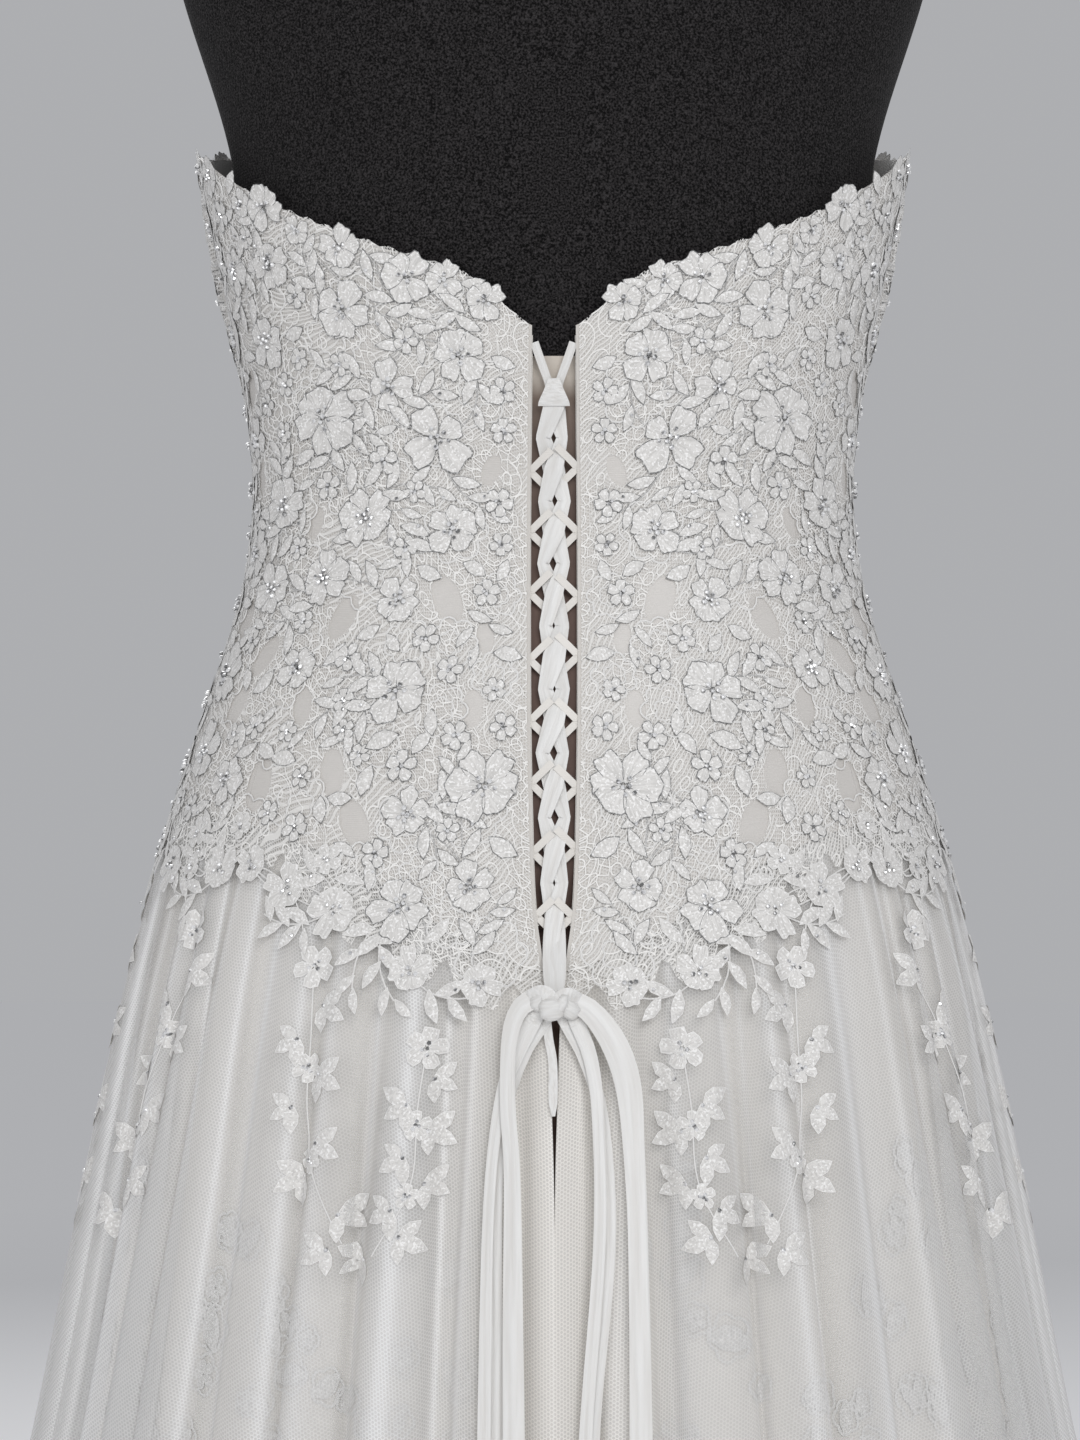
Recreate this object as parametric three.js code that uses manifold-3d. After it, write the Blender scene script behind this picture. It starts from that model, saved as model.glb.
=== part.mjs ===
// Strapless wedding dress on a dress form: a boned satin bodice under beaded lace, laced down the
// centre back, over a satin underskirt and a gathered tulle skirt.
// Millimetres, +Z up. The floor is z = 0, the front faces -Y and the wearer's left is +X.
// A turn is an angle round the figure: 0 at the centre back, 90 at the left side, 180 at the front.
import * as THREE from "three";
import { mergeVertices } from "three/addons/utils/BufferGeometryUtils.js";
import Module from "manifold-3d";

const wasm = await Module();
wasm.setup();

// Driving sizes
const HEM_Z = 10;
const AXIS_Y = -17; // the side seams stand before the middle of the hem, so the skirt sweeps back
const SQUARENESS = 2.25; // 2 is an ellipse, and more is flatter across the back
const SATIN = 1.5;
const TULLE = 1.2;
const LACE = 1.1;
const SEAM_GAP = 0.3;
const LAYER_GAP = 0.7; // between cloth and what lies on it
const LACE_LIFT = 0.85;
const DEG = Math.PI / 180;

// The outside of the cloth from hem to neckline: half width, and depth behind and before the side seams
const SECTIONS = [
  { z: 10, width: 393, back: 400, front: 366 },
  { z: 200, width: 340, back: 331, front: 309 },
  { z: 400, width: 287, back: 266, front: 251 },
  { z: 653, width: 225, back: 191, front: 181 },
  { z: 757, width: 204, back: 162, front: 155 },
  { z: 844, width: 186, back: 139, front: 137 },
  { z: 887, width: 175, back: 128, front: 129 },
  { z: 930, width: 162, back: 117, front: 121 },
  { z: 973, width: 148, back: 105, front: 114 },
  { z: 1017, width: 134, back: 93, front: 106 },
  { z: 1060, width: 128.5, back: 88, front: 102 },
  { z: 1104, width: 132, back: 91, front: 108 },
  { z: 1146, width: 140, back: 96, front: 117 },
  { z: 1188, width: 149, back: 98, front: 121 },
  { z: 1240, width: 158, back: 98, front: 120 },
];

// Top edge of the bodice: a notch at the laced back, high at the sides, heart-shaped at the front
const NECKLINE = [
  { turn: 0, z: 1121 },
  { turn: 5, z: 1127 },
  { turn: 9, z: 1139 },
  { turn: 16, z: 1147 },
  { turn: 28, z: 1157 },
  { turn: 45, z: 1172 },
  { turn: 62, z: 1188 },
  { turn: 80, z: 1203 },
  { turn: 100, z: 1212 },
  { turn: 135, z: 1223 },
  { turn: 152, z: 1217 },
  { turn: 168, z: 1196 },
  { turn: 180, z: 1182 },
];

// Dropped waist seam, lowest at the centre back and in a point at the front
const WAIST_SEAM = [
  { turn: 0, z: 866 },
  { turn: 8, z: 877 },
  { turn: 24, z: 905 },
  { turn: 45, z: 922 },
  { turn: 90, z: 928 },
  { turn: 140, z: 910 },
  { turn: 180, z: 880 },
];

// Half the opening at the centre back, from the seam that closes it up to the notch
const OPENING = [
  { z: HEM_Z, half: 0.15 },
  { z: 765, half: 0.15 },
  { z: 798, half: 0.5 },
  { z: 820, half: 1.3 },
  { z: 850, half: 2.3 },
  { z: 872, half: 4.6 },
  { z: 893, half: 7.4 },
  { z: 925, half: 8.6 },
  { z: 965, half: 9.4 },
  { z: 1030, half: 9.6 },
  { z: 1085, half: 9.2 },
  { z: 1130, half: 8.8 },
  { z: 1240, half: 8.8 },
];

// Cups, shaped by the seams beside the centre front panel
const CUP = { x: 82, z: 1166, rise: 23, across: 46, upright: 44 };

// Bodice panels of the left half by the turn of their seams; "opening" is the laced edge
const PANELS = [
  { name: "bodice_back", from: "opening", to: 48, columns: 6 },
  { name: "bodice_side_back", from: 48, to: 92, columns: 5 },
  { name: "bodice_cup", from: 92, to: 150, columns: 7 },
];
const FRONT_PANEL = { name: "bodice_center_front", from: 150, to: 210, columns: 6 };
const BODICE_ROWS = 8;
const CROWDING = 1.6; // columns stand closer beside the opening

// Tulle skirt: gathers round the whole waist seam, and how deep their valleys are on the way down
const GATHERS = 44;
const STEPS_PER_GATHER = 3;
const GATHER_DEPTH = [
  { z: HEM_Z, depth: 30 },
  { z: 300, depth: 25 },
  { z: 653, depth: 19 },
  { z: 757, depth: 14 },
  { z: 850, depth: 6 },
  { z: 905, depth: 2 },
  { z: 930, depth: 1.4 },
];
const SKIRT_RINGS = [0, 0.06, 0.2, 0.45, 0.72, 1]; // shares of the way from waist seam to hem
const UNDERSKIRT_STEPS = 32;

// Lace over the bodice: rows of the net, flowers sewn on it and leaf-shaped gaps between them
const LACE_OVERHANG = 24; // how far the lace falls below the waist seam
const EDGE_BAND = 5; // satin left bare beside the laced edge
const FLOWER_RELIEF = 1.5;
const EDGE_FLOWER = { radius: 11, petals: 5 };
const NECK_FLOWER_TURNS = [14, 38, 68, 130];
const HEM_FLOWER_TURNS = [12, 44, 140];
const LACE_FLOWERS = [
  { turn: 31, z: 1108, radius: 17 },
  { turn: 19, z: 1054, radius: 15 },
  { turn: 62, z: 1074, radius: 14 },
  { turn: 26, z: 962, radius: 17 },
  { turn: 118, z: 1105, radius: 15 },
  { turn: 150, z: 1042, radius: 16 },
];
const LACE_GAP = { width: 10, length: 18, lean: 24, turns: [14, 41, 68, 112, 139, 164] };
const LACE_GAP_ROWS = [956, 1014, 1088];
const LACE_GAP_MARGIN = 9; // clear lace between a gap and a flower or an edge

// Sprays that trail from the lace down the tulle on the left half, and the half widths of a spray: a flower
// at its head, then a stem with pairs of leaves
const SPRAYS = [
  { name: "spray_a", turn: 13, z: 838, length: 78, lean: 2 },
  { name: "spray_b", turn: 29, z: 868, length: 104, lean: -3 },
  { name: "spray_c", turn: 54, z: 880, length: 112, lean: 3 },
  { name: "spray_d", turn: 83, z: 886, length: 124, lean: -2 },
  { name: "spray_e", turn: 118, z: 876, length: 108, lean: 2 },
  { name: "spray_f", turn: 152, z: 854, length: 98, lean: -3 },
];
const SPRAY_WALL = 1.1;
const SPRAY_SHAPE = [
  { down: 0, half: 2 },
  { down: 0.05, half: 7.5 },
  { down: 0.12, half: 9.5 },
  { down: 0.19, half: 6.5 },
  { down: 0.25, half: 1.4 },
  { down: 0.38, half: 1.4 },
  { down: 0.45, half: 6.5 },
  { down: 0.52, half: 4 },
  { down: 0.58, half: 1.3 },
  { down: 0.7, half: 1.3 },
  { down: 0.77, half: 5.5 },
  { down: 0.84, half: 3.4 },
  { down: 1, half: 0.8 },
];

// Lacing: two flat ribbons that cross from loop to loop, tied in a bow with hanging loops and tails
const LOOPS = { count: 10, topZ: 1117, pitch: 25.4, inset: 3.7, height: 1.2, bar: 0.9 };
const LOOP_HOLE = { width: 4.1, depth: 2.5 };
const LACING_OUT = -0.6; // of the middle of the lacing, from the outside of the panels
const TAPE = { under: 6, past: 1.4, wall: 1, gap: 0.8 };
const RIBBON = { wide: 6.2, bunched: 2.5, wall: 1, over: 0.9 };
// One crossing: shares of the pitch down, of the way to the loops, of the width and of the rise
const RIBBON_COURSE = [
  { down: 0, across: 1, width: 0, over: 0 },
  { down: 0.12, across: 0.92, width: 0.25, over: 0.3 },
  { down: 0.42, across: 0.55, width: 0.9, over: 1 },
  { down: 0.7, across: 0.14, width: 1, over: 1 },
  { down: 0.88, across: -0.74, width: 0.35, over: 0.7 },
];
const KNOT = { z: 855, out: 6.5, x: 8, y: 5.5, tall: 6.5 };
const BOW_RIBBON = { width: 8.4, bunched: 3.6, gather: 0.1, wall: 1, spacing: 17 };
// Routes of the hanging ribbons: sideways from the centre back, height, and stand-off from the skirt
const BOW = {
  bow_loop_left: [
    [9.4, 857, 7.5], [12.4, 855.5, 7.5], [16, 849, 7], [17.9, 837, 6.3], [17.9, 817, 5.6], [16.3, 794, 5.2],
    [15.8, 742, 5.2], [15.2, 650, 5.2], [16.5, 617, 5], [21, 608, 4.5], [25.5, 617, 3.9], [26.6, 650, 3.6],
    [26, 742, 3.6], [24.5, 790, 3.6], [20, 822, 3.7], [14, 838, 4], [9, 847.5, 4.6],
  ],
  bow_loop_right: [
    [-8.8, 856, 7.5], [-14.4, 852.5, 7.5], [-23, 840.5, 6.8], [-28.2, 825, 6], [-30, 805, 5.4],
    [-31.5, 769, 5.2], [-32, 690, 5.2], [-31.5, 620, 5.2], [-28, 592, 5], [-21, 585, 4.5], [-14, 592, 3.9],
    [-11, 625, 3.6], [-11, 690, 3.6], [-17, 769, 3.6], [-16.4, 817, 3.7], [-13.6, 836, 4], [-9, 847.5, 4.6],
  ],
  tail_left: [
    [5.2, 846.6, 3.4], [12, 836, 2.6], [19, 816, 2], [22, 790, 1.9], [22, 690, 1.9], [24, 560, 1.9],
    [23, 470, 1.9],
  ],
  tail_right: [
    [-5.2, 846.6, 3.4], [-12, 834, 2.6], [-18, 814, 2], [-21, 769, 1.9], [-14, 690, 1.9], [-17, 560, 1.9],
    [-15, 440, 1.9],
  ],
};

// Dress form: a plain closed torso on a pole and a round foot
const FORM_EASE = [ // how far the torso stays inside the cloth's outside
  { z: 850, sides: 30, back: 30 },
  { z: 900, sides: 16, back: 18 },
  { z: 940, sides: 6, back: 8 },
  { z: 973, sides: 3.2, back: 6.9 },
  { z: 1060, sides: 2.9, back: 6.6 },
  { z: 1140, sides: 3, back: 6.6 },
];
const FORM_TOP = [ // above the bodice the torso widens to the shoulders and closes in to the neck
  { z: 1165, width: 138, back: 90, front: 116 },
  { z: 1205, width: 138.5, back: 90, front: 114 },
  { z: 1277, width: 160, back: 90, front: 100 },
  { z: 1340, width: 176, back: 80, front: 82 },
  { z: 1378, width: 176, back: 68, front: 66 },
  { z: 1402, width: 160, back: 56, front: 55 },
  { z: 1420, width: 118, back: 52, front: 52 },
  { z: 1440, width: 74, back: 49, front: 50 },
  { z: 1470, width: 58, back: 46, front: 50 },
  { z: 1510, width: 55, back: 44, front: 50 },
];
const FORM_RINGS = [860, 890, 920, 950, 985, 1020, 1060, 1100, 1135];
const FORM_BOTTOM_Z = 860;
const FORM_COLUMNS = 26;
const NECK_CAP = { radius: 47, height: 16, bead: 5 };
const POLE_RADIUS = 16;
const FOOT = { radius: 170, rim: 8, hub: 34, height: 26 };
const POLE_Y = AXIS_Y;

// Colours of the real materials
const finish = (color, roughness, metalness = 0) =>
  new THREE.MeshStandardMaterial({ color, roughness, metalness, side: THREE.DoubleSide });
const IVORY_SATIN = finish(0xe9e3d8, 0.55);
const IVORY_LACE = finish(0xf1efea, 0.8);
const IVORY_TULLE = finish(0xefedea, 0.9);
const RIBBON_SATIN = finish(0xf4f2ee, 0.4);
const NUDE_MESH = finish(0x8b7468, 0.75);
const BLACK_JERSEY = finish(0x232122, 0.9);
const BLACK_METAL = finish(0x1c1c1d, 0.45, 0.8);

// A smooth value between the rows of a table
function along(rows, by, name, at) {
  const last = rows.length - 1;
  if (at <= rows[0][by]) return rows[0][name];
  if (at >= rows[last][by]) return rows[last][name];
  const i = rows.findIndex((row) => row[by] > at) - 1;
  const slope = (j) => {
    const a = rows[Math.max(j - 1, 0)];
    const b = rows[Math.min(j + 1, last)];
    return (b[name] - a[name]) / (b[by] - a[by]);
  };
  const span = rows[i + 1][by] - rows[i][by];
  const s = (at - rows[i][by]) / span;
  const ease = s * s * (3 - 2 * s);
  const leave = s * (1 - s) * (1 - s) * span * slope(i);
  const arrive = s * s * (s - 1) * span * slope(i + 1);
  return rows[i][name] + (rows[i + 1][name] - rows[i][name]) * ease + leave + arrive;
}

const mix = THREE.MathUtils.lerp;
const signedPower = (x, power) => Math.sign(x) * Math.abs(x) ** power;

// A half turn, 0 to 180 degrees, from any turn in radians: the dress is alike on both sides
function halfTurn(turn) {
  const degrees = Math.abs(THREE.MathUtils.euclideanModulo(turn / DEG + 180, 360) - 180);
  return degrees;
}
const necklineZ = (turn) => along(NECKLINE, "turn", "z", halfTurn(turn));
const waistSeamZ = (turn) => along(WAIST_SEAM, "turn", "z", halfTurn(turn));
const openingHalf = (z) => along(OPENING, "z", "half", z);
const gatherDepth = (z) => along(GATHER_DEPTH, "z", "depth", z);

// A point of a rounded section, in plan
function sectionPoint(turn, width, back, front) {
  const s = Math.sin(turn);
  const c = Math.cos(turn);
  const power = 2 / SQUARENESS;
  const depth = c > 0 ? back : front;
  return new THREE.Vector2(width * signedPower(s, power), AXIS_Y + depth * signedPower(c, power));
}

function dressSection(turn, z) {
  const size = (name) => along(SECTIONS, "z", name, z);
  return sectionPoint(turn, size("width"), size("back"), size("front"));
}

// How far the cups stand out of the plain section
function cupRise(x, y, z) {
  if (y > AXIS_Y) return 0;
  const upright = Math.exp(-(((z - CUP.z) / CUP.upright) ** 2));
  const across = Math.exp(-(((Math.abs(x) - CUP.x) / CUP.across) ** 2));
  return CUP.rise * upright * across;
}

// A point of the dress, moved straight out of its section
function cloth(turn, z, out = 0) {
  const step = 0.01;
  const p = dressSection(turn, z);
  const d = dressSection(turn + step, z).sub(dressSection(turn - step, z)).normalize();
  const away = cupRise(p.x, p.y, z) + out;
  return new THREE.Vector3(p.x - d.y * away, p.y + d.x * away, z);
}

// Radians of turn for a length along the section
function turnFor(length, turn, z) {
  const step = 0.01;
  return (length * 2 * step) / cloth(turn + step, z).distanceTo(cloth(turn - step, z));
}

// The turn at a distance sideways from the centre back
function turnAt(x, z) {
  const share = Math.abs(x) / along(SECTIONS, "z", "width", z);
  return Math.asin(share ** (SQUARENESS / 2)) * Math.sign(x);
}

// A point behind the dress at a distance sideways from the centre back
function behind(x, z, out) {
  const p = cloth(turnAt(x, z), z);
  return new THREE.Vector3(x, p.y + out, z);
}

function indexed(points, triangles, flipped) {
  const turned = flipped ? triangles.map(([a, b, c]) => [a, c, b]) : triangles;
  const geometry = new THREE.BufferGeometry().setFromPoints(points);
  geometry.setIndex(turned.flat());
  geometry.computeVertexNormals();
  return geometry;
}

// A closed cloth wall from a grid of points: at(u, v, inside) with u round the figure and v upwards.
// A wall across the centre front has its triangles mirrored in its second half.
function wall(columns, rows, at, flipped = false, mirroredAt = Infinity) {
  const points = [];
  const id = (i, j, inside) => ((inside ? 1 : 0) * (rows + 1) + j) * (columns + 1) + i;
  for (const inside of [false, true])
    for (let j = 0; j <= rows; j++)
      for (let i = 0; i <= columns; i++) points.push(at(i / columns, j / rows, inside));
  const triangles = [];
  const quad = (a, b, c, d) => triangles.push([a, b, c], [a, c, d]);
  for (let j = 0; j < rows; j++)
    for (let i = 0; i < columns; i++) {
      const outer = [id(i, j, 0), id(i, j + 1, 0), id(i + 1, j + 1, 0), id(i + 1, j, 0)];
      const inner = [id(i, j, 1), id(i + 1, j, 1), id(i + 1, j + 1, 1), id(i, j + 1, 1)];
      for (const corners of [outer, inner])
        if (i < mirroredAt) quad(...corners);
        else quad(...corners.slice(1), corners[0]);
    }
  for (let j = 0; j < rows; j++) {
    quad(id(0, j, 0), id(0, j, 1), id(0, j + 1, 1), id(0, j + 1, 0));
    quad(id(columns, j, 0), id(columns, j + 1, 0), id(columns, j + 1, 1), id(columns, j, 1));
  }
  for (let i = 0; i < columns; i++) {
    quad(id(i, 0, 0), id(i + 1, 0, 0), id(i + 1, 0, 1), id(i, 0, 1));
    quad(id(i, rows, 0), id(i, rows, 1), id(i + 1, rows, 1), id(i + 1, rows, 0));
  }
  return indexed(points, triangles, flipped);
}

// A closed solid through rings of points, with flat ends
function loft(rings) {
  const sides = rings[0].length;
  const points = rings.flat();
  const triangles = [];
  for (let j = 0; j < rings.length - 1; j++)
    for (let i = 0; i < sides; i++) {
      const next = (i + 1) % sides;
      const [a, b, c, d] = [j * sides + i, j * sides + next, (j + 1) * sides + next, (j + 1) * sides + i];
      triangles.push([a, b, c], [a, c, d]);
    }
  const end = (rings.length - 1) * sides;
  for (let i = 1; i < sides - 1; i++) triangles.push([0, i + 1, i], [end, end + i, end + i + 1]);
  return indexed(points, triangles);
}

// A raised patch on the cloth: an outline in millimetres, seen as a star from its middle
function patch(outline, turn, z, low, high, dome, side) {
  const place = (across, up, out) => cloth(side * (turn + turnFor(across, turn, z + up)), z + up, out);
  const count = outline.length;
  const points = [place(0, 0, low), place(0, 0, high + dome)];
  for (const [across, up] of outline) points.push(place(across, up, low), place(across, up, high));
  const triangles = [];
  for (let i = 0; i < count; i++) {
    const [a, b] = [2 + 2 * i, 2 + 2 * ((i + 1) % count)];
    triangles.push([0, a, b], [1, b + 1, a + 1], [a, a + 1, b + 1], [a, b + 1, b]);
  }
  return indexed(points, triangles, side < 0);
}

// Outline of a flower: each petal has a notch beside it and a round tip
const PETAL = [[0, 0.5], [0.5, 1]];
function flowerOutline(radius, petals, twist) {
  const points = [];
  const petal = (2 * Math.PI) / petals;
  for (let i = 0; i < petals; i++)
    for (const [share, reach] of PETAL) {
      const angle = twist + (i + share) * petal;
      points.push([radius * reach * Math.cos(angle), radius * reach * Math.sin(angle)]);
    }
  return points;
}

// Outline of a leaf or of a gap between leaves, pointed at both ends
const LEAF = [[-0.5, 0], [-0.2, 0.46], [0.15, 0.5], [0.5, 0], [0.15, -0.5], [-0.2, -0.46]]; // along, across
function leafOutline(length, width, lean) {
  const [c, s] = [Math.cos(lean), Math.sin(lean)];
  return LEAF.map(([along, across]) => [
    across * width * c + along * length * s,
    along * length * c - across * width * s,
  ]);
}

// Booleans
function solid(geometry) {
  const bare = geometry.clone();
  bare.deleteAttribute("normal");
  bare.deleteAttribute("uv");
  const merged = mergeVertices(bare, 1e-4);
  const triVerts = new Uint32Array(merged.index.array);
  const vertProperties = merged.attributes.position.array;
  return new wasm.Manifold(new wasm.Mesh({ numProp: 3, vertProperties, triVerts }));
}

function geometryOf(made) {
  const mesh = made.getMesh();
  const geometry = new THREE.BufferGeometry();
  geometry.setAttribute("position", new THREE.BufferAttribute(new Float32Array(mesh.vertProperties), 3));
  geometry.setIndex(new THREE.BufferAttribute(new Uint32Array(mesh.triVerts), 1));
  geometry.computeVertexNormals();
  return geometry;
}

const dress = new THREE.Group();
function addPiece(name, geometry, material) {
  const mesh = new THREE.Mesh(geometry, material);
  mesh.name = name;
  dress.add(mesh);
}
const SIDES = [{ side: 1, word: "left" }, { side: -1, word: "right" }];

// The turn and height of a point in a panel whose first edge may be the opening
function inPanel(panel, u, v, side) {
  let z = mix(waistSeamZ(panel.to * DEG), necklineZ(panel.to * DEG), v);
  let turn = 0;
  for (let pass = 0; pass < 4; pass++) {
    const seam = turnFor(SEAM_GAP / 2, panel.to * DEG, z);
    const opens = panel.from === "opening";
    const start = opens ? turnAt(openingHalf(z), z) : panel.from * DEG + seam;
    turn = mix(start, panel.to * DEG - seam, opens ? u ** CROWDING : u);
    z = mix(waistSeamZ(turn), necklineZ(turn), v);
  }
  return { turn: turn * side, z };
}

// Bodice: satin panels seamed from the lacing round to the centre front
function bodicePanel(panel, side, mirroredAt) {
  return wall(panel.columns, BODICE_ROWS, (u, v, inside) => {
    const at = inPanel(panel, u, v, side);
    return cloth(at.turn, at.z, inside ? -SATIN : 0);
  }, side < 0, mirroredAt);
}
for (const panel of PANELS)
  for (const { side, word } of SIDES)
    addPiece(`${panel.name}_${word}`, bodicePanel(panel, side), IVORY_SATIN);
addPiece(FRONT_PANEL.name, bodicePanel(FRONT_PANEL, 1, FRONT_PANEL.columns / 2), IVORY_SATIN);

// Skirts: each is three breadths that meet at the side seams and at the centre back, where the seam
// opens at the top
function skirtWall(steps, first, last, side, turnOf, outside, thickness) {
  const columns = last - first;
  const rings = SKIRT_RINGS.length - 1;
  const quarter = steps / 4;
  return wall(columns, rings, (u, v, inside) => {
    const step = first + Math.round(u * columns);
    const top = waistSeamZ(turnOf(step)) - SEAM_GAP;
    const z = mix(top, HEM_Z, SKIRT_RINGS[rings - Math.round(v * rings)]);
    const opening = turnAt(openingHalf(z), z);
    let turn = turnOf(step);
    if (step < quarter) turn = mix(opening, turnOf(quarter), turn / turnOf(quarter));
    if (u === 0 && step > 0) turn += turnFor(SEAM_GAP / 2, turn, z);
    if (u === 1) turn -= turnFor(SEAM_GAP / 2, turn, z);
    return cloth(side * turn, z, outside(step, z) - (inside ? thickness : 0));
  }, side < 0, first > 0 ? columns / 2 : Infinity);
}
function addSkirt(name, steps, turnOf, outside, thickness, material) {
  const [quarter, most] = [steps / 4, (3 * steps) / 4];
  const breadth = (first, last, side) => skirtWall(steps, first, last, side, turnOf, outside, thickness);
  for (const { side, word } of SIDES) addPiece(`${name}_back_${word}`, breadth(0, quarter, side), material);
  addPiece(`${name}_front`, breadth(quarter, most, 1), material);
}

// Tulle skirt: the crests of its gathers lie on the outside of the dress and the valleys fall inside it
const TULLE_STEPS = GATHERS * STEPS_PER_GATHER;
function valleyShare(step) {
  const fromBack = Math.min(step, TULLE_STEPS - step);
  const gather = Math.floor(fromBack / STEPS_PER_GATHER);
  const crest = step % STEPS_PER_GATHER === 0;
  return crest ? 0 : 0.72 + 0.28 * Math.sin(gather * 2.3) * Math.cos(gather * 0.9);
}
function gatherTurn(step) {
  const even = (2 * Math.PI * step) / TULLE_STEPS;
  return even + 0.035 * Math.sin(6 * even) + 0.02 * Math.sin(14 * even);
}
const tulleOut = (step, z) => -gatherDepth(z) * valleyShare(step);
addSkirt("skirt_tulle", TULLE_STEPS, gatherTurn, tulleOut, TULLE, IVORY_TULLE);

// Underskirt: plain flared satin inside the tulle
const underskirtTurn = (step) => (2 * Math.PI * step) / UNDERSKIRT_STEPS;
const underskirtOut = (step, z) => -(gatherDepth(z) * 1.15 + TULLE + SEAM_GAP);
addSkirt("underskirt", UNDERSKIRT_STEPS, underskirtTurn, underskirtOut, SATIN, IVORY_SATIN);

// Lace: a net wall over the bodice and the top of the skirt, with flowers raised on it and gaps cut through
const laceHemZ = (turn) => waistSeamZ(turn) - LACE_OVERHANG + 5 * Math.cos(turn * 9);
const laceTopZ = (turn) => necklineZ(turn) - 2;
const laceLow = LACE_LIFT;
const laceHigh = LACE_LIFT + LACE;

function laceFlowers() {
  const edge = (turns, heightAt) =>
    turns.map((degrees) => ({ ...EDGE_FLOWER, turn: degrees, z: heightAt(degrees * DEG) }));
  return [
    ...LACE_FLOWERS.map((flower) => ({ ...flower, petals: 5 })),
    ...edge(NECK_FLOWER_TURNS, (turn) => laceTopZ(turn) - 3),
    ...edge(HEM_FLOWER_TURNS, (turn) => laceHemZ(turn) + 3),
  ];
}

function laceGaps(flowers) {
  const gaps = LACE_GAP_ROWS.flatMap((z, row) =>
    LACE_GAP.turns.map((degrees, i) => {
      return { turn: degrees + (row % 2) * 9, z, lean: (i + row) % 2 ? 1 : -1 };
    }));
  const away = (gap, flower) => {
    const a = cloth(gap.turn * DEG, gap.z);
    return a.distanceTo(cloth(flower.turn * DEG, flower.z)) - flower.radius - LACE_GAP.length / 2;
  };
  const insideEdges = (gap) =>
    gap.turn < 180 - 8 && gap.z + LACE_GAP.length + LACE_GAP_MARGIN < laceTopZ(gap.turn * DEG);
  const offSeam = (gap) => Math.abs(gap.turn - 92) > 9;
  return gaps.filter((gap) =>
    insideEdges(gap) && offSeam(gap) && flowers.every((flower) => away(gap, flower) > LACE_GAP_MARGIN / 3));
}

const FLOWERS = laceFlowers();
const GAPS = laceGaps(FLOWERS);
const flowerTwist = (flower) => (flower.turn * 7 + flower.z) * DEG;

// The lace follows the columns and rows of the panels under it, with one more row below the waist seam
function laceWall(panels, side, halves) {
  const columns = panels.reduce((sum, panel) => sum + panel.columns, 0);
  const at = (u, v) => {
    let column = Math.round(u * columns);
    const row = Math.round(v * (BODICE_ROWS + 1)) - 1;
    const panel = panels.find((one) => {
      if (column <= one.columns) return true;
      column -= one.columns;
      return false;
    });
    const place = inPanel(panel, column / panel.columns, Math.max(row, 0) / BODICE_ROWS, side);
    if (row < 0) place.z = laceHemZ(place.turn);
    if (row === BODICE_ROWS) place.z = laceTopZ(place.turn);
    const atOpening = panel.from === "opening" && column === 0;
    if (atOpening) place.turn += side * turnFor(EDGE_BAND, place.turn, place.z);
    if (u === 1 && panels.length < 3) place.turn -= side * turnFor(SEAM_GAP, place.turn, place.z);
    return place;
  };
  let made = solid(wall(columns, BODICE_ROWS + 1, (u, v, inside) => {
    const place = at(u, v);
    return cloth(place.turn, place.z, inside ? laceLow : laceHigh);
  }, side < 0, panels.length < 3 ? Infinity : columns / 2));
  const last = panels[panels.length - 1].to;
  const mine = (item) => last <= 92 ? item.turn < last : item.turn > panels[0].from;
  for (const half of halves) {
    for (const flower of FLOWERS.filter(mine)) {
      const outline = flowerOutline(flower.radius, flower.petals, flowerTwist(flower));
      const [low, high, dome] = [laceLow + 0.1, laceHigh + FLOWER_RELIEF * 0.6, FLOWER_RELIEF * 0.4];
      const raised = patch(outline, flower.turn * DEG, flower.z, low, high, dome, half);
      made = made.add(solid(raised));
    }
    for (const gap of GAPS.filter(mine)) {
      const outline = leafOutline(LACE_GAP.length, LACE_GAP.width, gap.lean * LACE_GAP.lean * DEG);
      const cutter = patch(outline, gap.turn * DEG, gap.z, laceLow - 3, laceHigh + 3, 0, half);
      made = made.subtract(solid(cutter));
    }
  }
  return geometryOf(made);
}
const [BACK_PANEL, SIDE_BACK_PANEL, CUP_PANEL] = PANELS;
const mirrored = (panel) => ({ ...panel, from: 360 - panel.to, to: 360 - panel.from });
for (const { side, word } of SIDES)
  addPiece(`lace_back_${word}`, laceWall([BACK_PANEL, SIDE_BACK_PANEL], side, [side]), IVORY_LACE);
addPiece("lace_front", laceWall([CUP_PANEL, FRONT_PANEL, mirrored(CUP_PANEL)], 1, [1, -1]), IVORY_LACE);

// Sprays: they lie on the crests of the gathers
function spray(row, side) {
  const rings = SPRAY_SHAPE.length - 1;
  return wall(1, rings, (u, v, inside) => {
    const { down, half } = SPRAY_SHAPE[rings - Math.round(v * rings)];
    const z = row.z - row.length * down;
    const middle = row.turn * DEG;
    const across = row.lean * 6 * down * down + (2 * u - 1) * half;
    const turn = middle + turnFor(across, middle, z);
    return cloth(side * turn, z, LAYER_GAP + (inside ? 0 : SPRAY_WALL));
  }, side < 0);
}
for (const row of SPRAYS)
  for (const { side, word } of SIDES) addPiece(`${row.name}_${word}`, spray(row, side), IVORY_LACE);

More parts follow.
